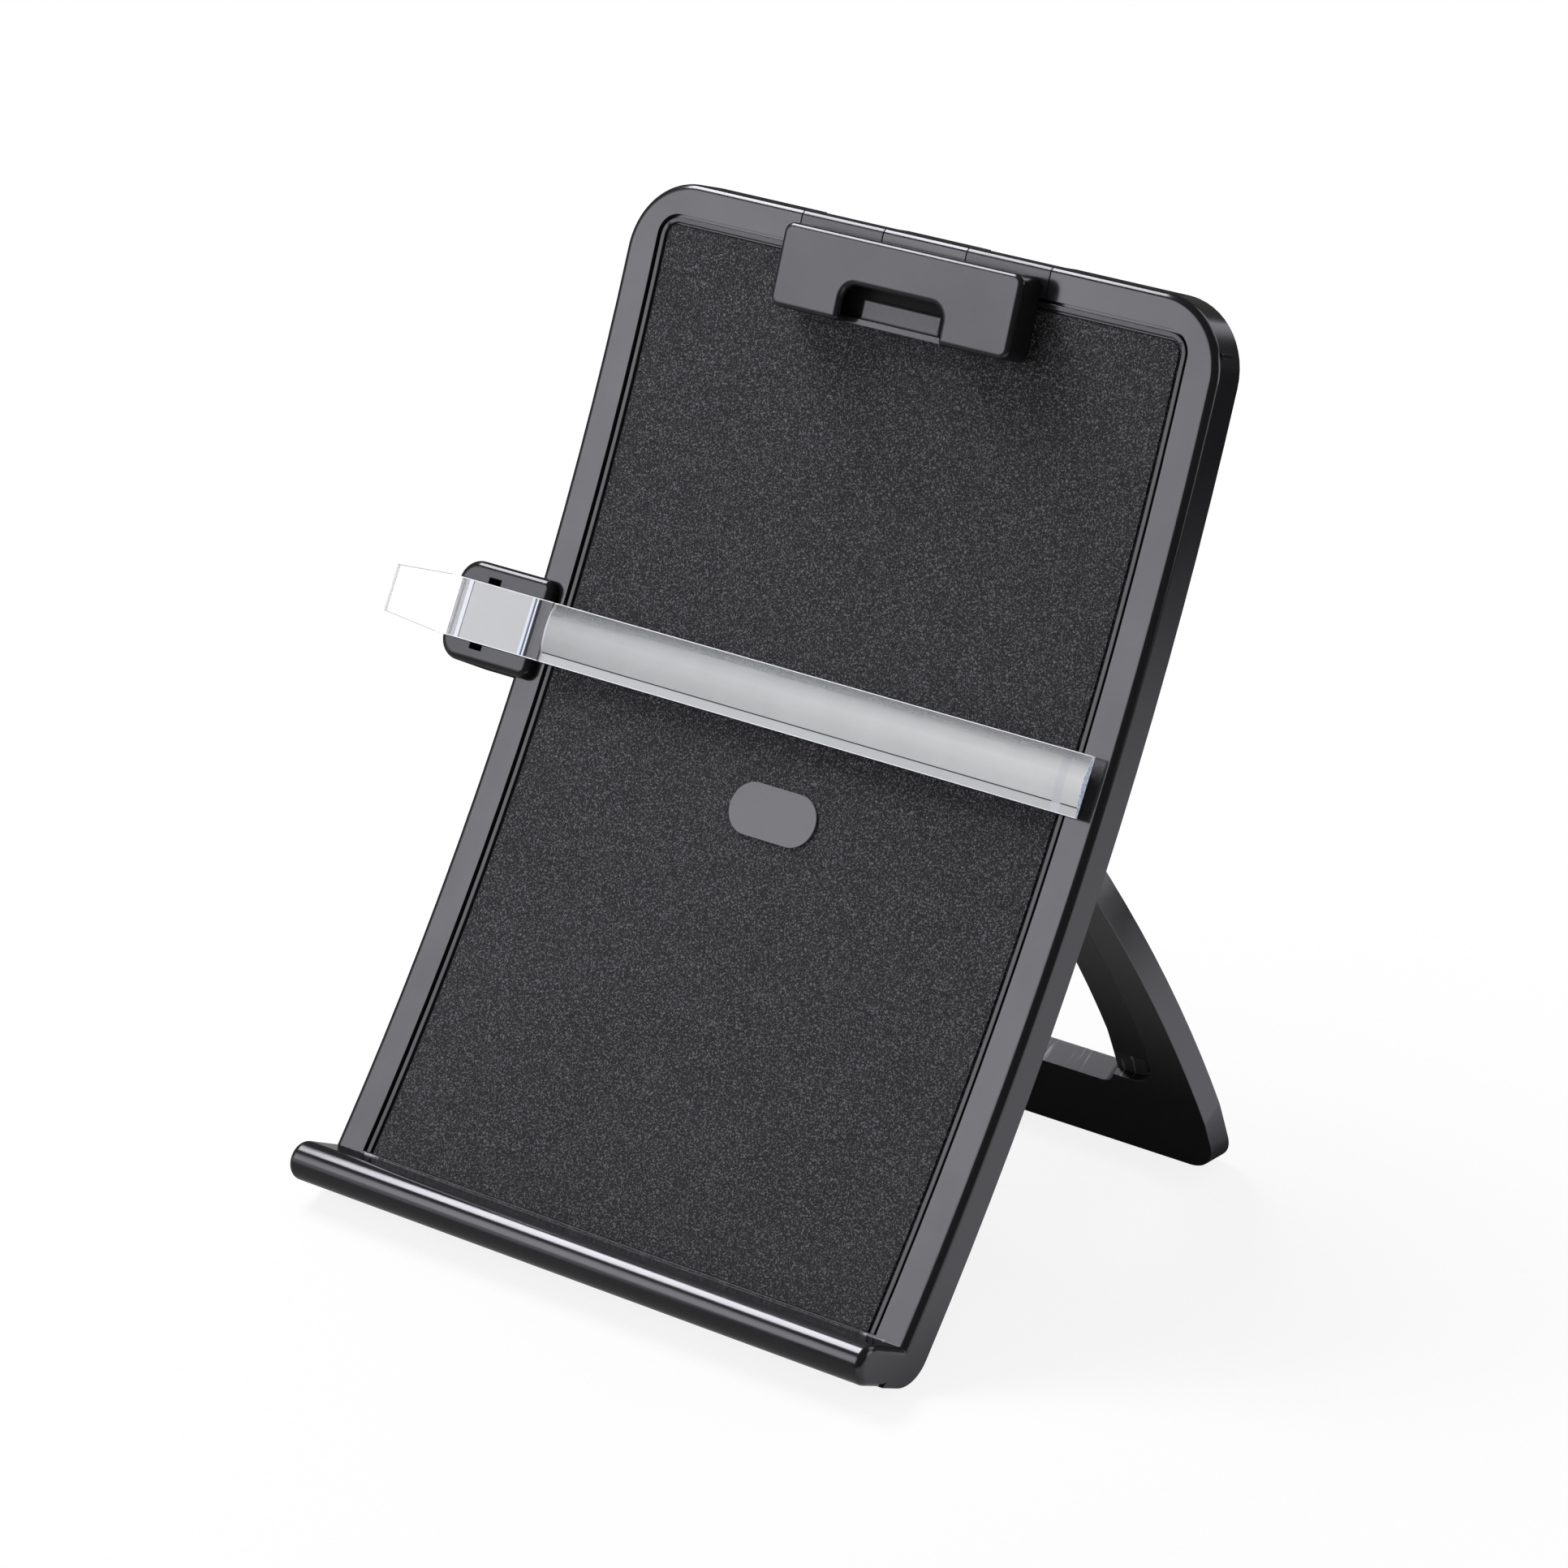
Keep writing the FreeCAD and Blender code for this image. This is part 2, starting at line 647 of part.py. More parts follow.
def clip_cover():
    """Box-shaped clip with two hinge arms; its frame stands on the hinge pin's axis."""
    body = new_body("clip_cover", *CLIP_PLACE)
    step = "rim_ledge - fit_gap * 2"
    side_shape(body, "Pad", "case",
               [("clip_face", "clip_low"), ("clip_panel_back", "clip_low"), ("clip_panel_back", step),
                ("clip_rim_back", step), ("clip_rim_back", "clip_above"), ("clip_face", "clip_above")],
               "-clip_half", "clip_half")
    fillet(body, "corners", "clip_corner", clip_corner_edge)
    side_shape(body, "Pocket", "inside",
               box("clip_face + clip_wall", "clip_panel_back + 2", "clip_low + clip_wall",
                   "rim_ledge - knuckle_gap - clip_wall"),
               "-clip_half + clip_wall", "clip_half - clip_wall")
    side_shape(body, "Pocket", "knuckle_clearance",
               box("-knuckle_sweep", "0", "rim_ledge - knuckle_gap", "clip_above + 1"),
               "-arm_inner", "arm_inner")
    finger_notch(body)
    fillet(body, "front_edge", "clip_round",
           lambda edge: all(near(point.y, "clip_face") for point in three_points(edge)))
    clip_arms(body)


def clip_corner_edge(edge):
    """One of the case's four corners, which run along the depth."""
    first, middle, last = three_points(edge)
    outer = near(abs(middle.x), "clip_half")
    end = near(middle.z, "clip_low") or near(middle.z, "clip_above")
    return outer and end and abs(first.y - last.y) > 2


def finger_notch(body):
    """Thumb notch in the lower edge of the front."""
    top = "clip_low + notch_rise"
    half = "notch_half"
    inner = "notch_half - notch_corner"
    level = f"{top} - notch_corner"
    sketch = new_sketch(body, "notch_outline", "XZ_Plane", "pin_depth + grip_height")
    draw(sketch, [(f"-({half})", "clip_low - 2"), (half, "clip_low - 2"),
                  (half, level, inner, level, 1), (inner, top),
                  (f"-({inner})", top, f"-({inner})", level, 1), (f"-({half})", level)])
    extrude(body, "Pocket", "notch", sketch, "clip_height")
    fillet(body, "notch_feet", "notch_round",
           lambda edge: all(near(abs(p.x), half) and near(p.z, "clip_low") for p in three_points(edge)))


def arm_path():
    """Side outline of a hinge arm: a barrel that is squared off flush with the rim."""
    front = "-board_depth / 2"
    top = "board_depth / 2"
    back = "barrel_radius - fit_gap"
    back_centre = (f"{back} - arm_round", f"{top} - arm_round")
    front_centre = (f"{front} + edge_round", f"{top} - edge_round")
    return [(front, "rim_ledge + fit_gap"),
            ("-fit_gap", "-barrel_radius", "-fit_gap", "0", 1),
            (back, "0"),
            (back, back_centre[1]) + back_centre + (1,),
            (back_centre[0], top),
            (front_centre[0], top) + front_centre + (1,),
            (front, front_centre[1])]


def clip_arms(body):
    """Arms on the pin, the necks that carry them, the pin's bore and the springs' seats."""
    neck = box("clip_rim_back - clip_wall / 2", "-board_depth / 2 + 1",
               "rim_ledge + fit_gap", "clip_above - clip_round")
    neck_end = "clip_half - clip_wall"
    seat_end = "arm_inner + spring_length + fit_gap * 2"
    for side, low, high in (("left", "-arm_outer", "-arm_inner"), ("right", "arm_inner", "arm_outer")):
        side_shape(body, "Pad", f"{side}_arm", arm_path(), low, high)
    for side, low, high in (("left", f"-({neck_end})", "-arm_inner"), ("right", "arm_inner", neck_end)):
        side_shape(body, "Pad", f"{side}_neck", neck, low, high)
    pin = "hinge_pin_radius + run_gap"
    side_hole(body, "pin_bore", "0", "0", pin, "-arm_outer - 1", "arm_outer + 1")
    coil = "hinge_pin_radius + spring_wire * 2 + fit_gap"
    for side, low, high in (("left", f"-({seat_end})", "-arm_inner + 1"), ("right", "arm_inner - 1", seat_end)):
        side_hole(body, f"{side}_spring_seat", "0", "0", coil, low, high)


def clip_grip_bar():
    """Stepped bar inside the clip that presses on the paper; its raised pad shows in the notch."""
    body = new_body("clip_grip_bar", *CLIP_PLACE)
    low = "clip_low + clip_wall"
    high = "clip_low + notch_rise + clip_wall"
    side_shape(body, "Pad", "bar",
               box("-pin_depth - grip_height + grip_step", "clip_panel_back", low, high),
               "-clip_half + clip_wall", "clip_half - clip_wall")
    side_shape(body, "Pad", "pad",
               box("-pin_depth - grip_height", "clip_panel_back", low, f"{low} + grip_rise"),
               "-grip_pad_half", "grip_pad_half")
    fillet(body, "pad_edge", "grip_round",
           lambda edge: all(near(p.y, "-pin_depth - grip_height") for p in three_points(edge)))


def clip_hinge_pin():
    body = new_body("clip_hinge_pin", *CLIP_PLACE)
    end = "hinge_half + hinge_pin_seat - fit_gap"
    side_rod(body, "rod", "0", "0", "hinge_pin_radius", f"-({end})", end)


def clip_springs():
    """Two coil springs on the hinge pin, each in the open end of an arm."""
    coil = value("hinge_pin_radius + spring_wire + fit_gap / 2")
    wire = value("spring_wire / 2")
    turns = int(value("spring_turns"))
    pitch = value("spring_pitch")
    frame = FreeCAD.Placement(FreeCAD.Vector(0, value(CLIP_PLACE[0]), value(CLIP_PLACE[1])),
                              FreeCAD.Rotation(FreeCAD.Vector(1, 0, 0), value(CLIP_PLACE[2])))
    starts = (("left", "-arm_inner - fit_gap - spring_length"), ("right", "arm_inner + fit_gap"))
    for side, text in starts:
        helix = Part.makeHelix(pitch, pitch * turns, coil)
        profile = Part.Wire([Part.makeCircle(wire, FreeCAD.Vector(coil, 0, 0), FreeCAD.Vector(0, 1, 0))])
        spring = helix.makePipeShell([profile], True, True)
        spring = Part.makeSolid(spring) if spring.ShapeType != "Solid" else spring
        along_x = FreeCAD.Placement(FreeCAD.Vector(value(text) + wire, 0, 0),
                                    FreeCAD.Rotation(FreeCAD.Vector(0, 1, 0), 90))
        item = doc.addObject("Part::Feature", f"clip_spring_{side}")
        item.Label = f"clip_spring_{side}"
        item.Shape = spring
        item.Placement = frame.multiply(along_x)
        pieces.append(item)


# ---------------------------------------------------------------- slider

SLIDER_PLACE = ("centre_y", "centre_z", "slider_arc / arc_radius * 180 / pi - tilt")


def slider_block(body, depth_low, depth_high):
    """Rounded block of the slider between two depths."""
    side_shape(body, "Pad", "block", band(depth_low, depth_high, "-slider_half", "slider_half"),
               "slider_left", "slider_right")
    round_edges(body, "outer_corners", "slider_corner",
                lambda x, depth, arc: near(x, "slider_left") and near(abs(arc), "slider_half"))
    round_edges(body, "inner_corners", "slider_inner_corner",
                lambda x, depth, arc: near(x, "slider_right") and near(abs(arc), "slider_half"))


def slider_housing():
    """Front half of the slider: it lies on the rim and reaches round the board's edge."""
    body = new_body("slider_housing", *SLIDER_PLACE)
    slider_block(body, "-slider_height", "slider_split")
    round_edges(body, "front_edge", "slider_round", lambda x, depth, arc: near(depth, "-slider_height"))
    side_shape(body, "Pocket", "rim_clearance",
               band("rim_face - slide_gap", "slider_split + 2", "-slider_half - 1", "slider_half + 1"),
               "-edge_clear", "slider_right + 1")
    side_shape(body, "Pocket", "channel",
               band("-slider_height - 2", "bar_back", "-channel_half", "channel_half"),
               "slider_left - 1", "slider_right + 1")
    saddle = "(saddle_wall + fit_gap)"
    seat_floor = "bar_back + saddle_drop + fit_gap"
    for side, low, high in (("outer", "slider_left - 1", f"slider_left + slider_round + {saddle}"),
                            ("inner", f"slider_right - slider_round - {saddle}", "slider_right + 1")):
        side_shape(body, "Pocket", f"{side}_saddle_seat",
                   band("-slider_height - 2", seat_floor, "-channel_half", "channel_half"), low, high)
    window_left = "window_middle - window_width / 2"
    window_right = "window_middle + window_width / 2"
    for side, low, high in (("upper", "channel_half - hook_wall * 2", "channel_half + window_rise"),
                            ("lower", "-channel_half - window_rise", "-channel_half + hook_wall * 2")):
        side_shape(body, "Pocket", f"{side}_window",
                   band("-slider_height - 1", "slider_split + 1", low, high), window_left, window_right)
    side_shape(body, "Pocket", "spring_seat",
               band("spring_inset", "slider_split + 1", "-slider_half * 0.7", "slider_half * 0.7"),
               "-edge_clear - leaf_room", "-edge_clear + 0.1")
    for side, low, high in glide_ends():
        side_shape(body, "Pocket", f"{side}_glide_seat",
                   band("rim_face - slide_gap - glide_sink", "0", f"({low}) - run_gap", f"({high}) + run_gap"),
                   "glide_left - run_gap", "glide_right + run_gap")
    screw_holes(body, "screw_bore", "screw_radius", "bar_back + screw_tip", "slider_split + 1")


def glide_ends():
    """Arc lengths between which the two glide pads lie."""
    return ("upper", "glide_low", "glide_high"), ("lower", "-glide_high", "-glide_low")


def screw_holes(body, name, radius, depth_low, depth_high):
    """Two holes along the depth, clear of the channel."""
    for side, arc in (("upper", "screw_arc"), ("lower", "-screw_arc")):
        sketch = new_sketch(body, f"{name}_{side}_circle", "XZ_Plane", f"-arc_radius - ({depth_high})")
        draw_circle(sketch, "screw_x", arc, radius)
        extrude(body, "Pocket", f"{name}_{side}", sketch, f"({depth_high}) - ({depth_low})")


def slider_back_cover():
    """Rear half of the slider: it closes behind the board's edge and hooks inside its wall."""
    body = new_body("slider_back_cover", *SLIDER_PLACE)
    slider_block(body, "slider_split + 0.05", "slider_depth")
    round_edges(body, "back_edge_round", "cover_round", lambda x, depth, arc: near(depth, "slider_depth"))
    inside = "-half_width + wall + slide_gap"
    side_shape(body, "Pocket", "wall_clearance",
               band("slider_split - 1", "back_edge + slide_gap", "-slider_half - 1", "slider_half + 1"),
               "-edge_clear", inside)
    side_shape(body, "Pocket", "hollow_clearance",
               band("slider_split - 1", "back_edge - catch_drop", "-slider_half - 1", "slider_half + 1"),
               f"{inside} - 0.1", "slider_right + 1")
    side_shape(body, "Pocket", "hook_relief",
               band("slider_split - 1", "back_edge + slide_gap", "-slider_half - 1", "slider_half + 1"),
               f"{inside} + catch_wall", "slider_right + 1")
    screw_holes(body, "screw_pass", "screw_radius + fit_gap", "slider_split - 1", "slider_depth + 1")
    screw_holes(body, "head_seat", "screw_head_radius + fit_gap", "slider_depth - screw_sink",
                "slider_depth + 1")


def slider_screws():
    """Two pan-head screws that hold the slider's halves together."""
    out = FreeCAD.Vector(0, 1, 0)
    across = value("screw_x")
    tip = value("arc_radius + bar_back + screw_tip + fit_gap")
    seat = value("arc_radius + slider_depth - screw_sink + run_gap")
    wall = value("screw_head_wall")
    slot = value("screw_slot")
    reach = value("screw_head_radius * 1.2")
    parts = []
    for arc in (value("screw_arc"), -value("screw_arc")):
        shank = Part.makeCylinder(value("screw_radius - run_gap"), seat - tip,
                                  FreeCAD.Vector(across, tip, arc), out)
        head = Part.makeCylinder(value("screw_head_radius"), wall, FreeCAD.Vector(across, seat, arc), out)
        rim = [edge for edge in head.Edges
               if len(edge.Vertexes) == 1 and abs(edge.CenterOfMass.y - seat - wall) < 0.01]
        head = head.makeFillet(wall * 0.3, rim)
        upright = Part.makeBox(slot, wall, reach,
                               FreeCAD.Vector(across - slot / 2, seat + wall / 2, arc - reach / 2))
        level = Part.makeBox(reach, wall, slot,
                             FreeCAD.Vector(across - reach / 2, seat + wall / 2, arc - slot / 2))
        parts.append(shank.fuse(head.cut(upright.fuse(level))).removeSplitter())
    item = doc.addObject("Part::Feature", "slider_screws")
    item.Label = "slider_screws"
    item.Shape = Part.makeCompound(parts)
    item.Placement = slider_frame()
    pieces.append(item)


def slider_frame():
    return FreeCAD.Placement(FreeCAD.Vector(0, value(SLIDER_PLACE[0]), value(SLIDER_PLACE[1])),
                             FreeCAD.Rotation(FreeCAD.Vector(1, 0, 0), value(SLIDER_PLACE[2])))


def slider_spring():
    """Bowed leaf spring that drags on the board's edge and holds the slider where it is put."""
    body = new_body("slider_spring", *SLIDER_PLACE)
    half = "slider_half * 0.66"
    far = "-edge_clear - leaf_room + 0.2"
    near_side = f"{far} + leaf_wall"
    sketch = new_sketch(body, "leaf_outline", "XZ_Plane", "-arc_radius - slider_split + leaf_wall")
    middle = f"leaf_bow - ((({half})^2 + leaf_bow^2) / (2 * leaf_bow))"
    draw(sketch, [(far, f"-({half})"),
                  (near_side, f"-({half})", f"{near_side} + {middle}", "0", 1),
                  (near_side, half),
                  (far, half, f"{far} + {middle}", "0", -1)])
    extrude(body, "Pad", "leaf", sketch, "slider_split - spring_inset - leaf_wall * 2")


def glide_pads():
    """Two felt pads under the housing that run on the rim's face."""
    body = new_body("glide_pads", *SLIDER_PLACE)
    front = "rim_face - slide_gap - glide_sink"
    for side, low, high in glide_ends():
        side_shape(body, "Pad", side, band(front, "rim_face - run_gap", low, high), "glide_left", "glide_right")


def guide_bar():
    """Clear bar: tapered tab, flat saddle across the slider and a lens over the paper."""
    body = new_body("guide_bar", *SLIDER_PLACE)
    half = "bar_rise / 2"
    face = "(arc_radius + bar_back - run_gap)"
    end = "-half_width - tab_reach"
    shoulder = "slider_left - bar_shoulder"
    lens = "slider_right + lens_start"
    sketch = new_sketch(body, "strip_outline", "XZ_Plane", f"-{face}")
    draw(sketch, [(end, "-tab_rise / 2"), (shoulder, f"-({half})"), (lens, f"-({half})"),
                  (lens, half), (shoulder, half), (end, "tab_rise / 2")])
    extrude(body, "Pad", "strip", sketch, "bar_wall")
    swell = "(lens_middle - lens_edge)"
    span = "(bar_rise - lens_flange)"
    bulge = f"(({span} / 2)^2 + {swell}^2) / (2 * {swell})"
    edge = f"{face} - lens_edge"
    side_shape(body, "Pad", "lens",
               [(face, f"-({half})"), (face, half),
                (edge, half, f"{face} - lens_middle + {bulge}", f"{half} - {span} / 2", 1),
                (edge, f"-({half}) + lens_flange"), (edge, f"-({half})")],
               lens, "bar_right")
    skin = f"{face} - bar_wall / 2"
    for side, low in (("outer", "slider_left + slider_round"),
                      ("inner", "slider_right - slider_round - saddle_wall")):
        side_shape(body, "Pad", f"{side}_saddle",
                   box(skin, f"{face} + saddle_drop", f"-({half}) + fit_gap", f"{half} - fit_gap"),
                   low, f"{low} + saddle_wall")
    hook_left = "window_middle - window_width / 2 + fit_gap"
    hook_right = "window_middle + window_width / 2 - fit_gap"
    for side, low, high in (("upper", f"{half} - hook_wall * 1.5", f"{half} - hook_wall / 2"),
                            ("lower", f"-({half}) + hook_wall / 2", f"-({half}) + hook_wall * 1.5")):
        side_shape(body, "Pad", f"{side}_hook", box(skin, f"{face} + hook_drop", low, high),
                   hook_left, hook_right)


# ---------------------------------------------------------------- leg

LEG_PLACE = ("leg_pin_y", "leg_pin_z", "leg_lean")


def leg_reach(radius):
    """Arc length from the pin down to the foot along a face of this radius."""
    level = "(leg_centre * sin(leg_lean) - leg_pin_z + foot_proud)"
    return f"((leg_lean - asin({level} / ({radius})) / 1deg) * pi / 180 * arc_radius)"


def leg_side_path():
    """Side outline: barrel at the pin, two concentric faces and a foot cut level with the desk."""
    half = "leg_wall / 2"
    front_reach = leg_reach("leg_front_radius")
    rear_reach = leg_reach("leg_rear_radius")
    front_foot = on_arc(f"leg_pin_depth - {half}", f"-{front_reach}", shift="leg_centre")
    rear_foot = on_arc(f"leg_pin_depth + {half}", f"-{rear_reach}", shift="leg_centre")
    centre = ("-leg_centre", "0")
    return [rear_foot + centre + (1,), (half, "0", "0", "0", 1), ("0", half, "0", "0", 1),
            (f"-{half}", "0") + centre + (-1,), front_foot]


def leg_sides(body):
    """Outer sides: upright at the foot, then a slight bow that narrows towards the pin."""
    foot = leg_reach("leg_front_radius")
    knee = ("leg_foot_half", f"leg_knee - {foot}")
    top = ("leg_top_half", "-leg_shoulder")
    sketch = new_sketch(body, "side_trim_outline", "XZ_Plane", "-leg_wall")
    end = f"-{foot} - leg_wall * 3"
    outer = "leg_foot_half + leg_wall"
    draw(sketch, [knee + bow_centre(knee, top, "leg_side_bow") + (1,), top, ("leg_top_half", "8"),
                  (outer, "8"), (outer, end), ("leg_foot_half", end)])
    trim = extrude(body, "Pocket", "side_trim", sketch, "leg_wall * 8")
    mirror(body, trim)
    low = value(knee[1]) - 2

    def foot_corner(edge):
        first, middle, last = three_points(edge)
        below = all(near(abs(p.x), "leg_foot_half") and p.z < low for p in (first, middle, last))
        return below and abs(first.y - last.y) > 3

    fillet(body, "foot_corners", "leg_foot_corner", foot_corner)


def bow_centre(low, high, bow):
    """Formulas of the centre of an arc through two points that bulges by `bow` towards +X."""
    across = f"(({low[0]}) - ({high[0]}))"
    along = f"(({high[1]}) - ({low[1]}))"
    chord = f"sqrt({across}^2 + {along}^2)"
    back = f"((({chord} / 2)^2 - {bow}^2) / (2 * {bow}) / {chord})"
    return (f"(({low[0]}) + ({high[0]})) / 2 - {back} * {along}",
            f"(({low[1]}) + ({high[1]})) / 2 - {back} * {across}")


def window_path(grow, level):
    """Front outline of the leg's window, `grow` wider on each side, with its foot end at `level`."""
    foot = leg_reach("leg_front_radius")
    share = f"((leg_top_bar - leg_shoulder) / ({foot} - leg_knee - leg_shoulder))"
    wide = f"(leg_foot_half - leg_limb + {grow})"
    narrow = (f"(leg_top_half + (leg_foot_half - leg_top_half) * {share} + leg_side_bow * 0.7"
              f" - leg_limb + leg_limb_taper + {grow})")
    low = f"-({foot} - {level})"
    knee = f"-({foot} - leg_foot_bar - leg_knee)"
    high = "-leg_top_bar"
    centre = bow_centre((wide, knee), (narrow, high), "leg_window_bow")
    left_centre = (f"-({centre[0]})", centre[1])
    return [(f"-({wide})", low), (wide, low), (wide, knee) + centre + (1,), (narrow, high),
            (f"-({narrow})", high) + left_centre + (1,), (f"-({wide})", knee)]


def round_path_corners(body, name, radius, path):
    """Fillet of the edges that run through an outline's first two and its two top corners."""
    corners = [(value(path[index][0]), value(path[index][1])) for index in (0, 1, 3, 4)]

    def at_corner(edge):
        first, middle, last = three_points(edge)
        found = any(abs(middle.x - x) < 0.05 and abs(middle.z - z) < 0.05 for x, z in corners)
        return found and abs(first.y - last.y) > 1

    fillet(body, name, radius, at_corner)


def leg_window(body):
    """Large window between the limbs."""
    path = window_path("0", "leg_foot_bar")
    sketch = new_sketch(body, "window_outline", "XZ_Plane", "-leg_wall")
    draw(sketch, path)
    extrude(body, "Pocket", "window", sketch, "leg_wall * 8")
    round_path_corners(body, "window_corners", "leg_window_corner", path)


def leg_step_cutter():
    """Space of the shallow step in the front of the limbs, beside the window."""
    body = new_body("leg_step_cutter", *LEG_PLACE)
    pieces.remove(body)
    path = window_path("leg_step_width", "leg_step_start")
    sketch = new_sketch(body, "step_outline", "XZ_Plane", "-leg_wall")
    draw(sketch, path)
    extrude(body, "Pad", "step", sketch, "leg_wall * 8")
    round_path_corners(body, "step_corners", "leg_step_corner", path)
    face = "leg_pin_depth - leg_wall / 2 + leg_step_sink"
    behind = band(face, f"{face} + leg_wall * 8", "-leg_pin_arc * 1.4", "leg_pin_arc / 2", shift="leg_centre")
    side_shape(body, "Pocket", "behind", behind, "-leg_foot_half * 1.2", "leg_foot_half * 1.2")
    return body


def stop_heel(body):
    """Heel above the pin: it bears flat on the board's floor while the leg stands open."""
    reach = "(leg_pin_depth - floor_back - run_gap)"
    corners = [(f"-{reach}", "0"), (f"-{reach}", "stop_heel"), ("0", "stop_heel"), ("0", "0")]
    cos_turn = "cos(leg_opening)"
    sin_turn = "sin(leg_opening)"
    path = [(f"({y}) * {cos_turn} + ({z}) * {sin_turn}", f"({z}) * {cos_turn} - ({y}) * {sin_turn}")
            for y, z in corners]
    side_shape(body, "Pad", "stop_heel", list(reversed(path)), "-stop_heel_half", "stop_heel_half")


def level_box(name, x_middle, y_middle, x_size, y_size, height):
    """Box that stands on the desk."""
    item = doc.addObject("Part::Box", name)
    item.setExpression("Length", expr(x_size))
    item.setExpression("Width", expr(y_size))
    item.setExpression("Height", expr(height))
    item.setExpression(".Placement.Base.x", expr(f"({x_middle}) - ({x_size}) / 2"))
    item.setExpression(".Placement.Base.y", expr(f"({y_middle}) - ({y_size}) / 2"))
    return item


def cut(label, base, tools):
    """The base less its tools, as the finished piece."""
    tool = tools[0]
    if len(tools) > 1:
        tool = doc.addObject("Part::MultiFuse", label + "_tools")
        tool.Shapes = tools
    item = doc.addObject("Part::Cut", label)
    item.Label = label
    item.Base = base
    item.Tool = tool
    doc.recompute()
    if base in pieces:
        pieces.remove(base)
    pieces.append(item)


PAD_X = "(leg_foot_half - pad_inset)"


def leg_frame():
    """Curved easel leg; its frame stands on the pins' axis."""
    body = new_body("leg_moulding", *LEG_PLACE)
    side_shape(body, "Pad", "blank", leg_side_path(), "-leg_foot_half", "leg_foot_half")
    leg_sides(body)
    leg_window(body)
    stop_heel(body)
    for side, low, high in (("left", "-leg_top_half - 1", "-leg_top_half + leg_pin_reach + 1"),
                            ("right", "leg_top_half - leg_pin_reach - 1", "leg_top_half + 1")):
        side_hole(body, f"{side}_bore", "0", "0", "leg_pin_radius + run_gap", low, high)
    tools = [leg_step_cutter()]
    for side, x_middle in (("left", "-" + PAD_X), ("right", PAD_X)):
        tools.append(level_box(f"{side}_pad_seat", x_middle, "pad_y", "pad_length + fit_gap",
                               "pad_width + fit_gap", "foot_proud + foot_seat"))
    cut("leg_frame", body, tools)


def leg_foot_pads():
    """Two rubber pads let into the leg's foot."""
    pads = doc.addObject("Part::MultiFuse", "leg_foot_pads")
    pads.Label = "leg_foot_pads"
    height = "foot_proud + foot_seat"
    pads.Shapes = [level_box(f"{side}_pad", x_middle, "pad_y", "pad_length", "pad_width", height)
                   for side, x_middle in (("left", "-" + PAD_X), ("right", PAD_X))]
    pieces.append(pads)


def leg_pins():
    """Stub pins that join the leg to the board's two brackets."""
    for side, low, high in (("left", "-leg_top_half - fit_gap - bracket_wall", "-leg_top_half + leg_pin_reach"),
                            ("right", "leg_top_half - leg_pin_reach", "leg_top_half + fit_gap + bracket_wall")):
        body = new_body(f"leg_pin_{side}", *LEG_PLACE)
        side_rod(body, "rod", "0", "0", "leg_pin_radius", low, high)


def build():
    board_shell()
    front_panel()
    badge_plaque()
    board_foot_strip()
    clip_cover()
    clip_grip_bar()
    clip_hinge_pin()
    clip_springs()
    slider_housing()
    slider_back_cover()
    slider_screws()
    slider_spring()
    glide_pads()
    guide_bar()
    leg_frame()
    leg_foot_pads()
    leg_pins()


build()
doc.recompute()
for item in doc.Objects:
    if "Invalid" in item.State or "Error" in item.State:
        raise RuntimeError(f"{item.Label} failed: {item.State}")
os.makedirs("parts", exist_ok=True)
for item in pieces:
    if item.Shape.isNull() or not item.Shape.isValid():
        raise RuntimeError(f"{item.Label} has no valid shape")
    item.Shape.exportStep(f"parts/{item.Label}.step")
    bounds = item.Shape.BoundBox
    print(f"{item.Label:20s} solids {len(item.Shape.Solids)} volume {item.Shape.Volume:10.1f}", bounds)
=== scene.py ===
import math

import bmesh
import bpy
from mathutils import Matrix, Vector

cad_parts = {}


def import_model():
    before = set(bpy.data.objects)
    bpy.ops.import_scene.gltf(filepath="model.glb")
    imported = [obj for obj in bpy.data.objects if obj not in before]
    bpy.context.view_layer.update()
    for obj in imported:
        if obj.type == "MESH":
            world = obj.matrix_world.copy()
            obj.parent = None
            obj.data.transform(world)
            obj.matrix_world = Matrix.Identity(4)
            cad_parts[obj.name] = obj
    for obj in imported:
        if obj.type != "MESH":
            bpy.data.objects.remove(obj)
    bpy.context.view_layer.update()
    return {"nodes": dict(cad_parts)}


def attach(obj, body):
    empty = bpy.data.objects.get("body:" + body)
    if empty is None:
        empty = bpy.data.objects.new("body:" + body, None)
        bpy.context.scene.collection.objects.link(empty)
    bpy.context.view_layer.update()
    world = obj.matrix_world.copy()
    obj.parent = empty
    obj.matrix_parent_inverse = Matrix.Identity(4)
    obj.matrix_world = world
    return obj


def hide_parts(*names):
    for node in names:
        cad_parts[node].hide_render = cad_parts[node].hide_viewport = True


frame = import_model()
nodes = frame["nodes"]

# The board, in metres: its panel is an arc about an axis along X, and TILT is its lean at the foot.
ARC_RADIUS = 0.975
ARC_CENTRE = (0.0, -0.761936, 0.622242)
TILT = math.radians(38.6)
HALF_WIDTH = 0.120
BOARD_RISE = 0.341
CORNER_RADIUS = 0.025
CORNER_X = HALF_WIDTH - CORNER_RADIUS
CORNER_RISE = BOARD_RISE - CORNER_RADIUS
EDGE_ROUND = 0.0025
RIM_FACE = -0.0005

# The side edges are meshed again with cuts this far in from the board's side, and with this many
# sections up the board. A face belongs to the round edge within these distances.
EDGE_CUTS = (0.0004, 0.0008, 0.00125, 0.0017, 0.0021)
EDGE_SECTIONS = 72
EDGE_OFF_ROUND = 0.00004
EDGE_PAST_END = 0.00002
EDGE_INSIDE = 0.0001

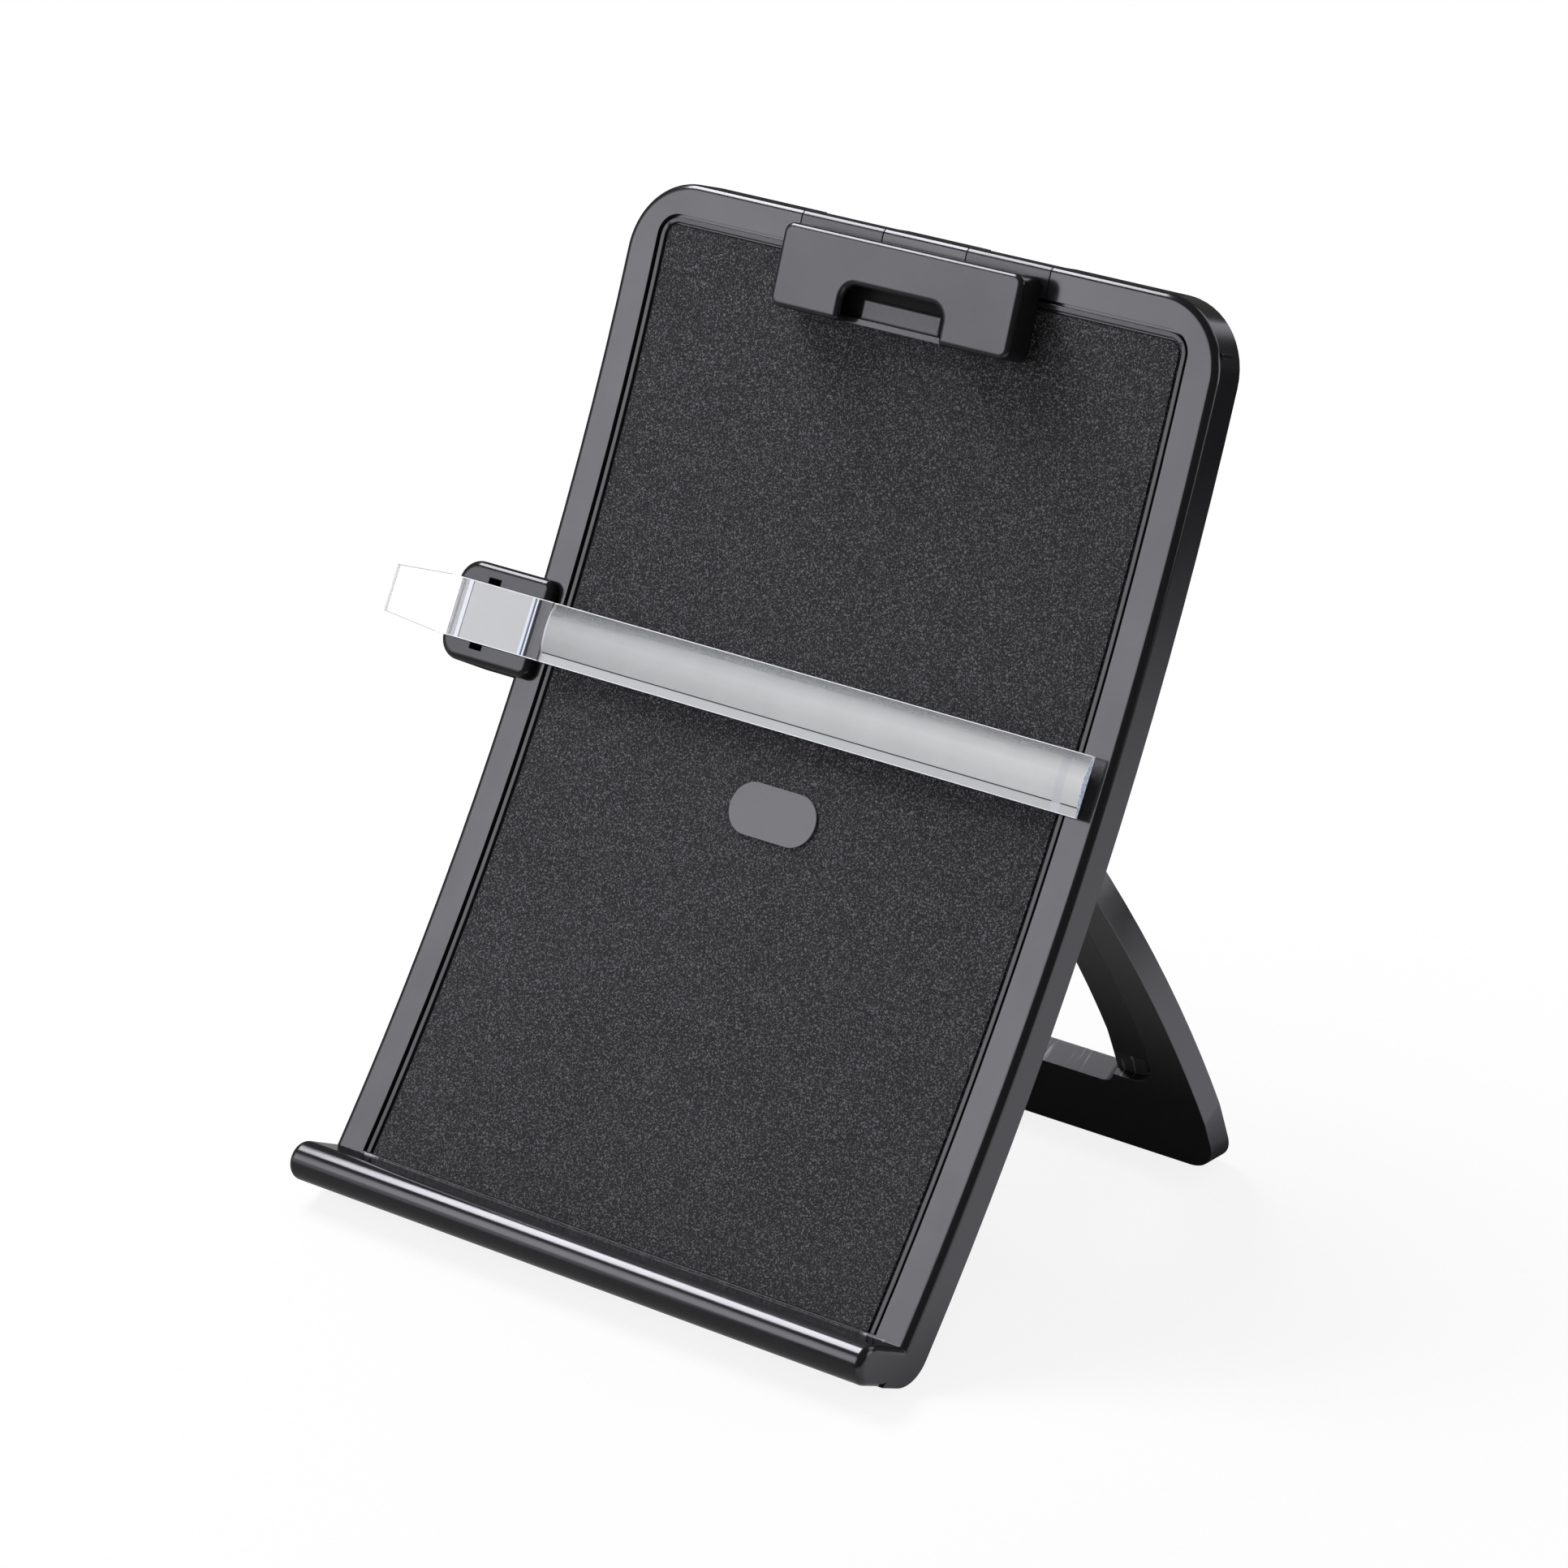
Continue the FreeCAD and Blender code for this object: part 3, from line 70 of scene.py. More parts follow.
# The grained field of the panel, and the sheet that bulges from it onto the shelf.
FIELD_HALF_WIDTH = 0.1045
FIELD_RISE = 0.32665
SHEET_HALF_WIDTH = 0.112
SHEET_BULGE = 0.0034

# The leg: its front face is an arc too. Its window's lower ledge lies between two depths behind
# that face and between two heights.
LEG_CENTRE = (0.0, -0.731500, -0.338180)
LEG_FRONT_RADIUS = 0.978550
LEDGE_DEPTH = (0.0001, 0.0093)
LEDGE_HEIGHT = (0.015, 0.040)
LEDGE_HALF_WIDTH = 0.085

# The clip's grip bar: the direction into the clip, and a point in the bar. What lies forward of
# GRIP_PAD, measured from that point along that direction, is the pad in the thumb notch.
GRIP_INWARDS = (0.0, 0.9465, -0.3231)
GRIP_FRONT = (0.0, 0.14980, 0.28389)
GRIP_PAD = -0.0016

# The clear bar: the direction up its face, a point on its middle line, where its parts begin and
# end on X, and the guide line's place, measured upwards from the middle line.
BAR_UP = (0.0, 0.46637, 0.88459)
BAR_MIDDLE = (0.0, 0.0970, 0.1694)
LENS = (-0.1074, 0.1150)
SADDLE = (-0.1422, -0.1138)
TAB_START = -0.1525
TAB_TIP = -0.1764
LENS_LINE = -0.0069

# Painted highlights and painted shade for what shows inside the clear bar at its steps as it bends and
# reflects light: from and to on X, softness, colour, strength.
BAR_PAINTED_STRIPES = (
    (0.1045, 0.1078, 0.0005, (0.60, 0.61, 0.62), 0.2),
    (-0.1075, -0.1068, 0.00015, (0.75, 0.77, 0.80), 0.6),
    (-0.1443, -0.1425, 0.0003, (0.80, 0.82, 0.84), 0.75),
    (-0.1425, -0.1421, 0.0001, (0.12, 0.14, 0.20), 0.8),
    (-0.1162, -0.1152, 0.0002, (0.74, 0.80, 0.88), 0.85),
    (-0.1150, -0.1143, 0.0001, (0.10, 0.12, 0.18), 0.85),
    (-0.1142, -0.1136, 0.0001, (0.80, 0.84, 0.90), 0.85),
    (-0.1134, -0.1121, 0.0001, (0.012, 0.012, 0.013), 0.85),
    (-0.1121, -0.1075, 0.0001, (0.10, 0.10, 0.105), 0.5),
)

# The floor: the painted reflection that polished faces see in it, with a glowing lit patch and a
# painted shadow, and where they change. To the camera it is WHITE_SHARE plain white near the object,
# so that the shadow shows, and all white further off.
FLOOR_HALF_SIZE = 3.0
FRONT_PAINTED_TONE = (0.35, 0.35, 0.35)
BACK_PAINTED_SHADOW = (0.03, 0.03, 0.03)
PAINTED_LIT_TONE = (0.99, 0.98, 1.06)
BACK_Y = (0.11, 0.17)
LIT_X = (0.10, 0.16)
LIT_AWAY = (0.95, 0.50)
WHITE_AWAY = (0.20, 0.50)
WHITE_SHARE = 0.86

# Lights, and the camera as it was fitted to the photograph.
OBJECT_MIDDLE = (0.0, 0.08, 0.15)
LIGHT_COLOR = (0.98, 0.975, 1.05)
CAMERA_PLACE = (1.1680, -1.36797, 0.89473)
CAMERA_FORWARD = (-0.5805, 0.7239, -0.3728)
FOCAL_LENGTH = 142.45


# ------------------------------------------------------------------ board mesh

def along_board(place):
    """Arc length up the board and radius from the arc's axis."""
    y, z = place.y - ARC_CENTRE[1], place.z - ARC_CENTRE[2]
    return ARC_RADIUS * (math.atan2(z, y) + TILT), math.hypot(y, z)


def edge_offsets(place):
    """Distances outwards and forwards from the centre line of the board's rounded outer edge."""
    arc, radius = along_board(place)
    beyond_x = max(abs(place.x) - CORNER_X, 0.0)
    beyond_up = max(arc - CORNER_RISE, 0.0)
    out = math.hypot(beyond_x, beyond_up) - (CORNER_RADIUS - EDGE_ROUND)
    return out, RIM_FACE + EDGE_ROUND - (radius - ARC_RADIUS)


def on_side_round(face):
    """A face of the rounded edge along a straight side: the loaded mesh spans it with long fans."""
    for vertex in face.verts:
        pair = edge_offsets(vertex.co)
        if min(pair) <= -EDGE_PAST_END or abs(math.hypot(*pair) - EDGE_ROUND) >= EDGE_OFF_ROUND:
            return False
    centre = face.calc_center_median()
    return min(edge_offsets(centre)) > EDGE_INSIDE and along_board(centre)[0] < CORNER_RISE


def cut(grid, faces, point, normal):
    """Cut the listed faces with a plane and return them with their new parts."""
    near = [face for face in faces if face.is_valid]
    parts = near + list({edge for face in near for edge in face.edges})
    parts += list({vertex for face in near for vertex in face.verts})
    result = bmesh.ops.bisect_plane(grid, geom=parts, dist=1e-7, plane_co=point, plane_no=normal)
    return [item for item in result["geom"] if isinstance(item, bmesh.types.BMFace)]


def fine_board():
    """The board with its rounded side edges meshed finely, so that its outline is smooth."""
    mesh = nodes["board_shell"].data.copy()
    piece = bpy.data.objects.new("board_shell_fine", mesh)
    bpy.context.scene.collection.objects.link(piece)
    grid = bmesh.new()
    grid.from_mesh(mesh)
    faces = [face for face in grid.faces if on_side_round(face)]
    for side in (-1.0, 1.0):
        for inset in EDGE_CUTS:
            faces = cut(grid, faces, (side * (HALF_WIDTH - inset), 0.0, 0.0), (1.0, 0.0, 0.0))
    for index in range(EDGE_SECTIONS):
        turn = CORNER_RISE * index / EDGE_SECTIONS / ARC_RADIUS - TILT
        faces = cut(grid, faces, ARC_CENTRE, (0.0, -math.sin(turn), math.cos(turn)))
    for vertex in {vertex for face in faces for vertex in face.verts}:
        out, front = edge_offsets(vertex.co)
        grow = EDGE_ROUND / math.hypot(out, front)
        radius = along_board(vertex.co)[1]
        back = Vector((0.0, vertex.co.y - ARC_CENTRE[1], vertex.co.z - ARC_CENTRE[2])) / radius
        vertex.co.x += math.copysign(out * (grow - 1.0), vertex.co.x)
        vertex.co -= back * front * (grow - 1.0)
    bmesh.ops.triangulate(grid, faces=[face for face in grid.faces if len(face.verts) > 4])
    grid.to_mesh(mesh)
    grid.free()
    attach(piece, "board")
    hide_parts("board_shell")


# ------------------------------------------------------------------ materials

class Shader:
    """A node material with one Principled shader and short calls for the nodes that feed it."""

    def __init__(self, name):
        self.material = bpy.data.materials.new(name)
        self.material.use_nodes = True
        self.tree = self.material.node_tree
        self.shader = self.tree.nodes["Principled BSDF"]
        self.output = self.tree.nodes["Material Output"]
        self.place = self.node("ShaderNodeTexCoord").outputs["Object"]

    def node(self, kind, **settings):
        item = self.tree.nodes.new(kind)
        for key, setting in settings.items():
            setattr(item, key, setting)
        return item

    def put(self, target, source):
        """Link a socket, or set a plain value."""
        if isinstance(source, bpy.types.NodeSocket):
            self.tree.links.new(source, target)
        else:
            target.default_value = source

    def noise(self, scale, detail=3.0, rough=0.5, vector=None, distortion=0.0):
        """Noise whose features are about 1/scale metres wide."""
        item = self.node("ShaderNodeTexNoise")
        self.put(item.inputs["Vector"], vector or self.place)
        self.put(item.inputs["Scale"], scale)
        self.put(item.inputs["Detail"], detail)
        self.put(item.inputs["Roughness"], rough)
        self.put(item.inputs["Distortion"], distortion)
        return item.outputs["Fac"]

    def stretch(self, x, y, z):
        """Object coordinates scaled per axis."""
        return self.vector("MULTIPLY", self.place, (x, y, z))

    def remap(self, source, low, high, to_low, to_high):
        item = self.node("ShaderNodeMapRange")
        for name, number in (("Value", source), ("From Min", low), ("From Max", high),
                             ("To Min", to_low), ("To Max", to_high)):
            self.put(item.inputs[name], number)
        return item.outputs["Result"]

    def along(self, direction, origin=(0.0, 0.0, 0.0)):
        """Distance from the origin along a direction, in metres."""
        return self.vector("DOT_PRODUCT", self.vector("SUBTRACT", self.place, origin), direction)

    def ramp(self, source, low, high, to_low=0.0):
        """Smooth step from 0, or to_low, at low to 1 at high."""
        item = self.node("ShaderNodeMapRange", interpolation_type="SMOOTHSTEP")
        self.put(item.inputs["Value"], source)
        item.inputs["From Min"].default_value = low
        item.inputs["From Max"].default_value = high
        item.inputs["To Min"].default_value = to_low
        return item.outputs["Result"]

    def above(self, source, level, soft=0.0002):
        """1 where the source is above a level, 0 below it."""
        return self.ramp(source, level - soft, level + soft)

    def between(self, source, low, high, soft=0.0002):
        """1 between two levels."""
        return self.math("SUBTRACT", self.above(source, low, soft), self.above(source, high, soft))

    def vector(self, operation, first, second=None, scale=None):
        item = self.node("ShaderNodeVectorMath", operation=operation)
        self.put(item.inputs[0], first)
        if second is not None:
            self.put(item.inputs[1], second)
        if scale is not None:
            self.put(item.inputs["Scale"], scale)
        return item.outputs["Value" if operation in ("LENGTH", "DOT_PRODUCT") else "Vector"]

    def combine(self, x, y, z):
        item = self.node("ShaderNodeCombineXYZ")
        for socket, number in zip(item.inputs, (x, y, z)):
            self.put(socket, number)
        return item.outputs["Vector"]

    def arc(self):
        """X, depth behind the panel, arc length up the board, and the board's own three axes."""
        away = self.vector("SUBTRACT", self.place, ARC_CENTRE)
        split = self.node("ShaderNodeSeparateXYZ")
        self.put(split.inputs[0], away)
        x, y, z = split.outputs
        square = self.math("ADD", self.math("MULTIPLY", y, y), self.math("MULTIPLY", z, z))
        reach = self.math("SQRT", square)
        depth = self.math("SUBTRACT", reach, ARC_RADIUS)
        turn = self.math("ADD", self.math("ARCTAN2", z, y), TILT)
        y, z = self.math("DIVIDE", y, reach), self.math("DIVIDE", z, reach)
        back = self.combine(0.0, y, z)
        up = self.combine(0.0, self.math("MULTIPLY", z, -1.0), y)
        return x, depth, self.math("MULTIPLY", turn, ARC_RADIUS), back, up

    def soft_edges(self, radius):
        """Shading normal with sharp edges slightly rounded."""
        item = self.node("ShaderNodeBevel", samples=4)
        item.inputs["Radius"].default_value = radius
        return item.outputs["Normal"]

    def sharp_edge_mask(self, rounded):
        """1 along sharp edges, 0 on faces: where the rounded normal leaves the true one."""
        plain = self.node("ShaderNodeNewGeometry").outputs["Normal"]
        return self.remap(self.vector("DOT_PRODUCT", rounded, plain), 0.985, 0.90, 0.0, 1.0)

    def board_normal(self, plain):
        """The true normal of the board's face and its rounded outer edge, in place of the facets'."""
        x, depth, arc, back, up = self.arc()
        past_x = self.math("SUBTRACT", self.math("ABSOLUTE", x), CORNER_X)
        beyond_x = self.math("MAXIMUM", past_x, 0.0)
        beyond_up = self.math("MAXIMUM", self.math("SUBTRACT", arc, CORNER_RISE), 0.0)
        across = self.combine(beyond_x, beyond_up, 1e-7)
        length = self.vector("LENGTH", across)
        out = self.math("MAXIMUM", self.math("SUBTRACT", length, CORNER_RADIUS - EDGE_ROUND), 0.0)
        # Never zero, because a zero normal would turn black in the transform below.
        front = self.math("MAXIMUM", self.math("SUBTRACT", RIM_FACE + EDGE_ROUND, depth), 1e-6)
        share = self.math("DIVIDE", out, length)
        side = self.math("MULTIPLY", self.math("MULTIPLY", beyond_x, share), self.math("SIGN", x))
        forward = self.vector("SCALE", back, scale=front)
        normal = self.vector("SUBTRACT", self.combine(side, 0.0, 0.0), forward)
        rise = self.vector("SCALE", up, scale=self.math("MULTIPLY", beyond_up, share))
        normal = self.vector("ADD", normal, rise)
        size = self.vector("LENGTH", normal)
        world = self.node("ShaderNodeVectorTransform", vector_type="NORMAL", convert_from="OBJECT",
                          convert_to="WORLD")
        self.put(world.inputs[0], self.vector("NORMALIZE", normal))
        mask = self.between(size, EDGE_ROUND * 0.6, EDGE_ROUND + 0.00018, 0.00004)
        mask = self.math("MULTIPLY", mask, self.above(arc, -0.0005, 0.00005))
        blend = self.node("ShaderNodeMix", data_type="VECTOR")
        vector_sockets = [socket for socket in blend.inputs if socket.type == "VECTOR"]
        self.put(blend.inputs["Factor"], mask)
        self.put(vector_sockets[-2], plain)
        self.put(vector_sockets[-1], world.outputs[0])
        result = next(socket for socket in blend.outputs if socket.type == "VECTOR")
        return self.vector("NORMALIZE", result)

    def math(self, operation, first, second=0.0):
        item = self.node("ShaderNodeMath", operation=operation)
        self.put(item.inputs[0], first)
        self.put(item.inputs[1], second)
        return item.outputs[0]

    def blend(self, factor, first, second):
        """Number between two numbers."""
        change = self.math("MULTIPLY", factor, self.math("SUBTRACT", second, first))
        return self.math("ADD", first, change)

    def mix(self, factor, first, second):
        item = self.node("ShaderNodeMix", data_type="RGBA")
        self.put(item.inputs["Factor"], factor)
        self.put(item.inputs["A"], (*first, 1.0) if isinstance(first, tuple) else first)
        self.put(item.inputs["B"], (*second, 1.0) if isinstance(second, tuple) else second)
        return item.outputs["Result"]

    def bump(self, height, strength, distance, normal=None):
        item = self.node("ShaderNodeBump")
        self.put(item.inputs["Height"], height)
        self.put(item.inputs["Strength"], strength)
        self.put(item.inputs["Distance"], distance)
        if normal:
            self.put(item.inputs["Normal"], normal)
        return item.outputs["Normal"]

    def set(self, **values):
        names = {"color": "Base Color", "rough": "Roughness", "metal": "Metallic", "normal": "Normal",
                 "clear": "Transmission Weight", "ior": "IOR"}
        for key, setting in values.items():
            self.put(self.shader.inputs[names[key]], setting)
        return self.material


def polish(s, shade, rough, tone, normal, specular=0.5):
    """Polished moulded plastic: faint flow marks, fine dust and slightly uneven polish."""
    flow = s.noise(14.0, 2.0, 0.5, s.stretch(1.0, 1.0, 0.35))
    dust = s.remap(s.noise(2600.0, 2.0, 0.6), 0.72, 0.80, 0.0, 1.0)
    color = s.mix(s.remap(flow, 0.3, 0.7, 0.0, 1.0), tuple(c * (1 - tone) for c in shade),
                  tuple(c * (1 + tone) for c in shade))
    color = s.mix(s.math("MULTIPLY", dust, 0.25), color, (0.10, 0.10, 0.105))
    smudge = s.noise(38.0, 3.0, 0.6)
    s.shader.inputs["Specular IOR Level"].default_value = specular
    return {"color": color, "rough": s.remap(smudge, 0.3, 0.7, rough * 0.85, rough * 1.3),
            "normal": s.bump(s.noise(60.0, 1.0, 0.4), 0.08, 0.0004, normal)}


def moulded_plastic(name, shade, rough, specular):
    """Polished plastic with slightly rounded edges."""
    s = Shader(name)
    return s.set(**polish(s, shade, rough, 0.12, s.soft_edges(0.0004), specular))


def leg_plastic():
    """Leg: satin faces with painted highlights along the edges, and a painted highlight in streaks on
    the top of the foot's bar.
    """
    s = Shader("leg_black")
    rounded = s.soft_edges(0.0006)
    smooth = polish(s, (0.004, 0.004, 0.0045), 0.17, 0.12, rounded, 1.0)
    # Painted highlight: sharp edges are made lighter, broken up by noise.
    painted_edge_highlight = s.math("MULTIPLY", s.sharp_edge_mask(rounded), s.remap(s.noise(400.0, 3.0), 0.35, 0.65, 0.3, 1.0))
    color = s.mix(painted_edge_highlight, smooth["color"], (0.085, 0.086, 0.090))
    from_axis = s.vector("MULTIPLY", s.vector("SUBTRACT", s.place, LEG_CENTRE), (0.0, 1.0, 1.0))
    behind = s.math("SUBTRACT", s.vector("LENGTH", from_axis), LEG_FRONT_RADIUS)
    inside = s.between(behind, *LEDGE_DEPTH, 0.00005)
    low = s.between(s.along((0.0, 0.0, 1.0)), *LEDGE_HEIGHT, 0.0005)
    outside = s.above(s.math("ABSOLUTE", s.along((1.0, 0.0, 0.0))), LEDGE_HALF_WIDTH)
    ledge = s.math("MULTIPLY", inside, low)
    ledge = s.math("MULTIPLY", ledge, s.math("SUBTRACT", 1.0, outside))
    # Painted highlight on the window's lower ledge, the top of the foot's bar, in streaks along it.
    painted_ledge_streaks = s.remap(s.noise(500.0, 3.0, 0.6, s.stretch(1.0, 0.06, 0.06)), 0.60, 0.68, 0.0, 1.0)
    color = s.mix(s.math("MULTIPLY", ledge, painted_ledge_streaks), color, (0.30, 0.31, 0.33))
    return s.set(color=color, rough=s.blend(ledge, smooth["rough"], 0.58), normal=smooth["normal"])


def grain(s):
    """Wormy moulded grain of short strokes about 0.6 mm long, their tops painted bright as glints:
    colour, roughness, height.
    """
    worms = s.noise(1700.0, 2.0, 0.6, distortion=0.7)
    fine = s.noise(3600.0, 2.0, 0.6)
    strokes = s.remap(worms, 0.52, 0.64, 0.0, 1.0)
    cloud = s.remap(s.noise(18.0, 3.0, 0.55), 0.32, 0.68, 0.0, 1.0)
    shade = s.mix(cloud, (0.003, 0.003, 0.0035), (0.006, 0.006, 0.0066))
    # Painted glints: the strokes' colour is raised far above the dark base.
    painted_glints = s.math("MULTIPLY", strokes, s.remap(fine, 0.3, 0.7, 0.4, 1.0))
    color = s.mix(painted_glints, shade, (0.165, 0.165, 0.173))
    height = s.math("ADD", worms, s.math("MULTIPLY", fine, 0.3))
    return color, s.remap(strokes, 0.0, 1.0, 0.70, 0.48), height


def grained_plastic():
    """The panel: grained field inside a smooth bead."""
    s = Shader("grained_black")
    x, _, arc = s.arc()[:3]
    side = s.math("SUBTRACT", 1.0, s.above(s.math("ABSOLUTE", x), FIELD_HALF_WIDTH, 0.0001))
    field = s.math("MULTIPLY", side, s.math("SUBTRACT", 1.0, s.above(arc, FIELD_RISE, 0.0001)))
    color, rough, height = grain(s)
    smooth = polish(s, (0.014, 0.014, 0.015), 0.17, 0.1, s.soft_edges(0.0003), 0.35)
    normal = s.bump(s.math("MULTIPLY", height, field), 1.0, 0.0003, smooth["normal"])
    return s.set(color=s.mix(field, smooth["color"], color),
                 rough=s.blend(field, smooth["rough"], rough), normal=normal)


def board_plastic():
    """Polished board, with the panel's grained sheet bulging a little way onto the shelf, and a
    painted highlight along the sheet's edge.
    """
    s = Shader("gloss_black")
    x, depth, arc = s.arc()[:3]
    smooth = polish(s, (0.010, 0.010, 0.011), 0.15, 0.12, s.board_normal(s.soft_edges(0.0004)))
    color, rough, height = grain(s)
    share = s.math("DIVIDE", x, SHEET_HALF_WIDTH)
    bulge = s.math("MULTIPLY", s.math("SUBTRACT", 1.0, s.math("MULTIPLY", share, share)), SHEET_BULGE)
    bulge = s.math("ADD", bulge, s.remap(s.noise(220.0, 2.0), 0.3, 0.7, -0.0003, 0.0003))
    forward = s.math("MULTIPLY", depth, -1.0)
    beyond = s.math("ADD", forward, s.math("MULTIPLY", bulge, -1.0))
    shelf = s.math("MULTIPLY", s.between(arc, -0.0040, -0.0002, 0.0001), s.above(forward, 0.0))
    sheet = s.math("MULTIPLY", shelf, s.math("SUBTRACT", 1.0, s.above(beyond, 0.0, 0.00008)))
    # Painted highlight: a light line along the sheet's edge on the shelf, broken up by noise.
    painted_seam_highlight = s.math("MULTIPLY", shelf, s.between(beyond, -0.00012, 0.00022, 0.00006))
    painted_seam_highlight = s.math("MULTIPLY", painted_seam_highlight, s.remap(s.noise(900.0, 2.0), 0.4, 0.6, 0.1, 0.9))
    color = s.mix(painted_seam_highlight, s.mix(sheet, smooth["color"], color), (0.42, 0.42, 0.43))
    return s.set(color=color, rough=s.blend(sheet, smooth["rough"], rough),
                 normal=s.bump(s.math("MULTIPLY", height, sheet), 1.0, 0.0003, smooth["normal"]))


def satin_plastic(name, shade, rough):
    s = Shader(name)
    speckle = s.noise(1500.0, 3.0, 0.6)
    color = s.mix(speckle, tuple(c * 0.9 for c in shade), tuple(c * 1.1 for c in shade))
    return s.set(color=color, rough=s.remap(speckle, 0.3, 0.7, rough * 0.9, rough * 1.1),
                 normal=s.bump(speckle, 0.15, 0.0002))


def grip_plastic():
    """Satin grip bar: behind the pad that stands forward in the thumb notch it is painted dark, as
    shade deep in the recess.
    """
    s = Shader("grip_grey")
    speckle = s.noise(1500.0, 3.0, 0.6)
    # Painted shade: what lies behind the pad is darkened and made rough, as shade in the clip's
    # recess.
    behind = s.above(s.along(GRIP_INWARDS, GRIP_FRONT), GRIP_PAD, 0.0002)
    color = s.mix(speckle, (0.036, 0.036, 0.037), (0.046, 0.046, 0.047))
    return s.set(color=s.mix(behind, color, (0.006, 0.006, 0.006)),
                 rough=s.blend(behind, s.remap(speckle, 0.3, 0.7, 0.32, 0.40), 0.85),
                 normal=s.bump(speckle, 0.15, 0.0002))


def soft_rubber():
    s = Shader("rubber")
    speckle = s.noise(1900.0, 4.0, 0.7)
    color = s.mix(speckle, (0.018, 0.018, 0.018), (0.045, 0.044, 0.043))
    return s.set(color=color, rough=s.remap(speckle, 0.3, 0.7, 0.7, 0.9),
                 normal=s.bump(speckle, 0.4, 0.0003))


def felt():
    s = Shader("felt")
    fibres = s.noise(3200.0, 4.0, 0.8, distortion=2.0)
    color = s.mix(fibres, (0.02, 0.02, 0.022), (0.09, 0.09, 0.095))
    return s.set(color=color, rough=s.remap(fibres, 0.3, 0.7, 0.85, 1.0),
                 normal=s.bump(fibres, 0.8, 0.0005))


def drawn_steel():
    s = Shader("steel")
    lines = s.noise(900.0, 3.0, 0.6, s.stretch(0.05, 1.0, 1.0))
    color = s.mix(lines, (0.42, 0.42, 0.43), (0.66, 0.66, 0.67))
    return s.set(color=color, metal=1.0, rough=s.remap(lines, 0.3, 0.7, 0.22, 0.4),
                 normal=s.bump(lines, 0.2, 0.0002))


def clear_plastic():
    """Clear acrylic bar: bare tab, pale diffuse white saddle, and a painted reflection as milky white
    on the lens, with the guide line in it.
    """
    s = Shader("clear_plastic")
    across = s.along((1.0, 0.0, 0.0))
    up = s.along(BAR_UP, BAR_MIDDLE)
    reach = s.math("ABSOLUTE", up)
    haze = s.noise(60.0, 4.0, 0.6)
    uneven_sheen = s.remap(haze, 0.3, 0.7, 0.92, 1.0)
    lens = s.between(across, *LENS, 0.0003)
    # Painted reflection on the lens: milky white, thin at the top edge and strong from just above the
    # middle line down, patchy, and a little weaker at its left end.
    body = s.remap(up, 0.0088, 0.0022, 0.22, 0.90)
    body = s.math("MULTIPLY", s.math("MULTIPLY", lens, body), uneven_sheen)
    body = s.math("MULTIPLY", body, s.remap(across, -0.108, -0.070, 0.80, 1.0))
    factor = s.math("MAXIMUM", s.math("MULTIPLY", s.between(across, *SADDLE), 0.84), body)
    # The painted white grows brighter towards the bar's right end, as the light falls. The saddle has
    # one tone.
    white = s.mix(s.remap(across, -0.11, 0.11, 0.0, 1.0), (0.47, 0.48, 0.467), (0.66, 0.67, 0.647))
    white = s.mix(s.between(across, *SADDLE), white, (0.555, 0.56, 0.545))

    def paint(mask, tone, amount):
        """Diffuse colour, mostly painted light and shade, of the given strength where the mask is 1.
        """
        nonlocal factor, white
        factor = s.math("MAXIMUM", factor, s.math("MULTIPLY", mask, amount))
        white = s.mix(mask, white, tone)

    # Below the guide line the painted reflection on the lens is one even tone.
    lower = s.math("MULTIPLY", lens, s.math("SUBTRACT", 1.0, s.above(up, LENS_LINE)))
    paint(lower, (0.54, 0.55, 0.535), 0.85)
    line = s.between(up, LENS_LINE - 0.0002, LENS_LINE + 0.0002, 0.0001)
    paint(s.math("MULTIPLY", lens, line), (0.06, 0.06, 0.065), 0.85)
    # Painted highlights and painted shade at the bar's steps.
    for start, end, soft, tone, amount in BAR_PAINTED_STRIPES:
        paint(s.between(across, start, end, soft), tone, amount)
    # Painted highlights along the bar's top and bottom edges, along the tab's edges and at its tip.
    bar_edge_highlight = s.math("MULTIPLY", s.above(reach, 0.00985, 0.00006), s.above(across, TAB_START))
    paint(bar_edge_highlight, (0.85, 0.86, 0.88), 0.85)
    tab_half = s.remap(across, TAB_TIP, TAB_START, 0.00795, 0.00990)
    tab_edge_highlight = s.above(s.math("SUBTRACT", reach, tab_half), 0.0, 0.00005)
    tab = s.math("SUBTRACT", 1.0, s.above(across, TAB_START))
    paint(s.math("MULTIPLY", tab, tab_edge_highlight), (0.40, 0.41, 0.42), 0.55)
    tab_tip_highlight = s.math("SUBTRACT", 1.0, s.above(across, TAB_TIP + 0.00025, 0.00005))
    paint(tab_tip_highlight, (0.55, 0.56, 0.57), 0.5)
    frost = s.remap(s.noise(900.0, 3.0, 0.7), 0.35, 0.65, 0.0, 1.0)
    ice = s.mix(frost, (0.28, 0.36, 0.50), (0.90, 0.94, 1.0))
    end = s.above(across, LENS[1] - 0.0006, 0.00003)
    factor = s.math("MAXIMUM", factor, s.math("MULTIPLY", end, 0.92))
    white = s.mix(end, white, ice)
    s.set(color=s.mix(haze, (0.96, 0.97, 0.98), (0.99, 1.0, 1.0)), clear=1.0, ior=1.49,
          rough=s.remap(haze, 0.3, 0.7, 0.01, 0.04), normal=s.bump(s.noise(120.0, 1.0), 0.03, 0.0003))
    diffuse_layer = s.node("ShaderNodeBsdfDiffuse")
    s.put(diffuse_layer.inputs["Color"], white)
    blend = s.node("ShaderNodeMixShader")
    s.put(blend.inputs[0], factor)
    s.put(blend.inputs[1], s.shader.outputs["BSDF"])
    s.put(blend.inputs[2], diffuse_layer.outputs["BSDF"])
    s.put(s.output.inputs["Surface"], blend.outputs["Shader"])
    return s.material


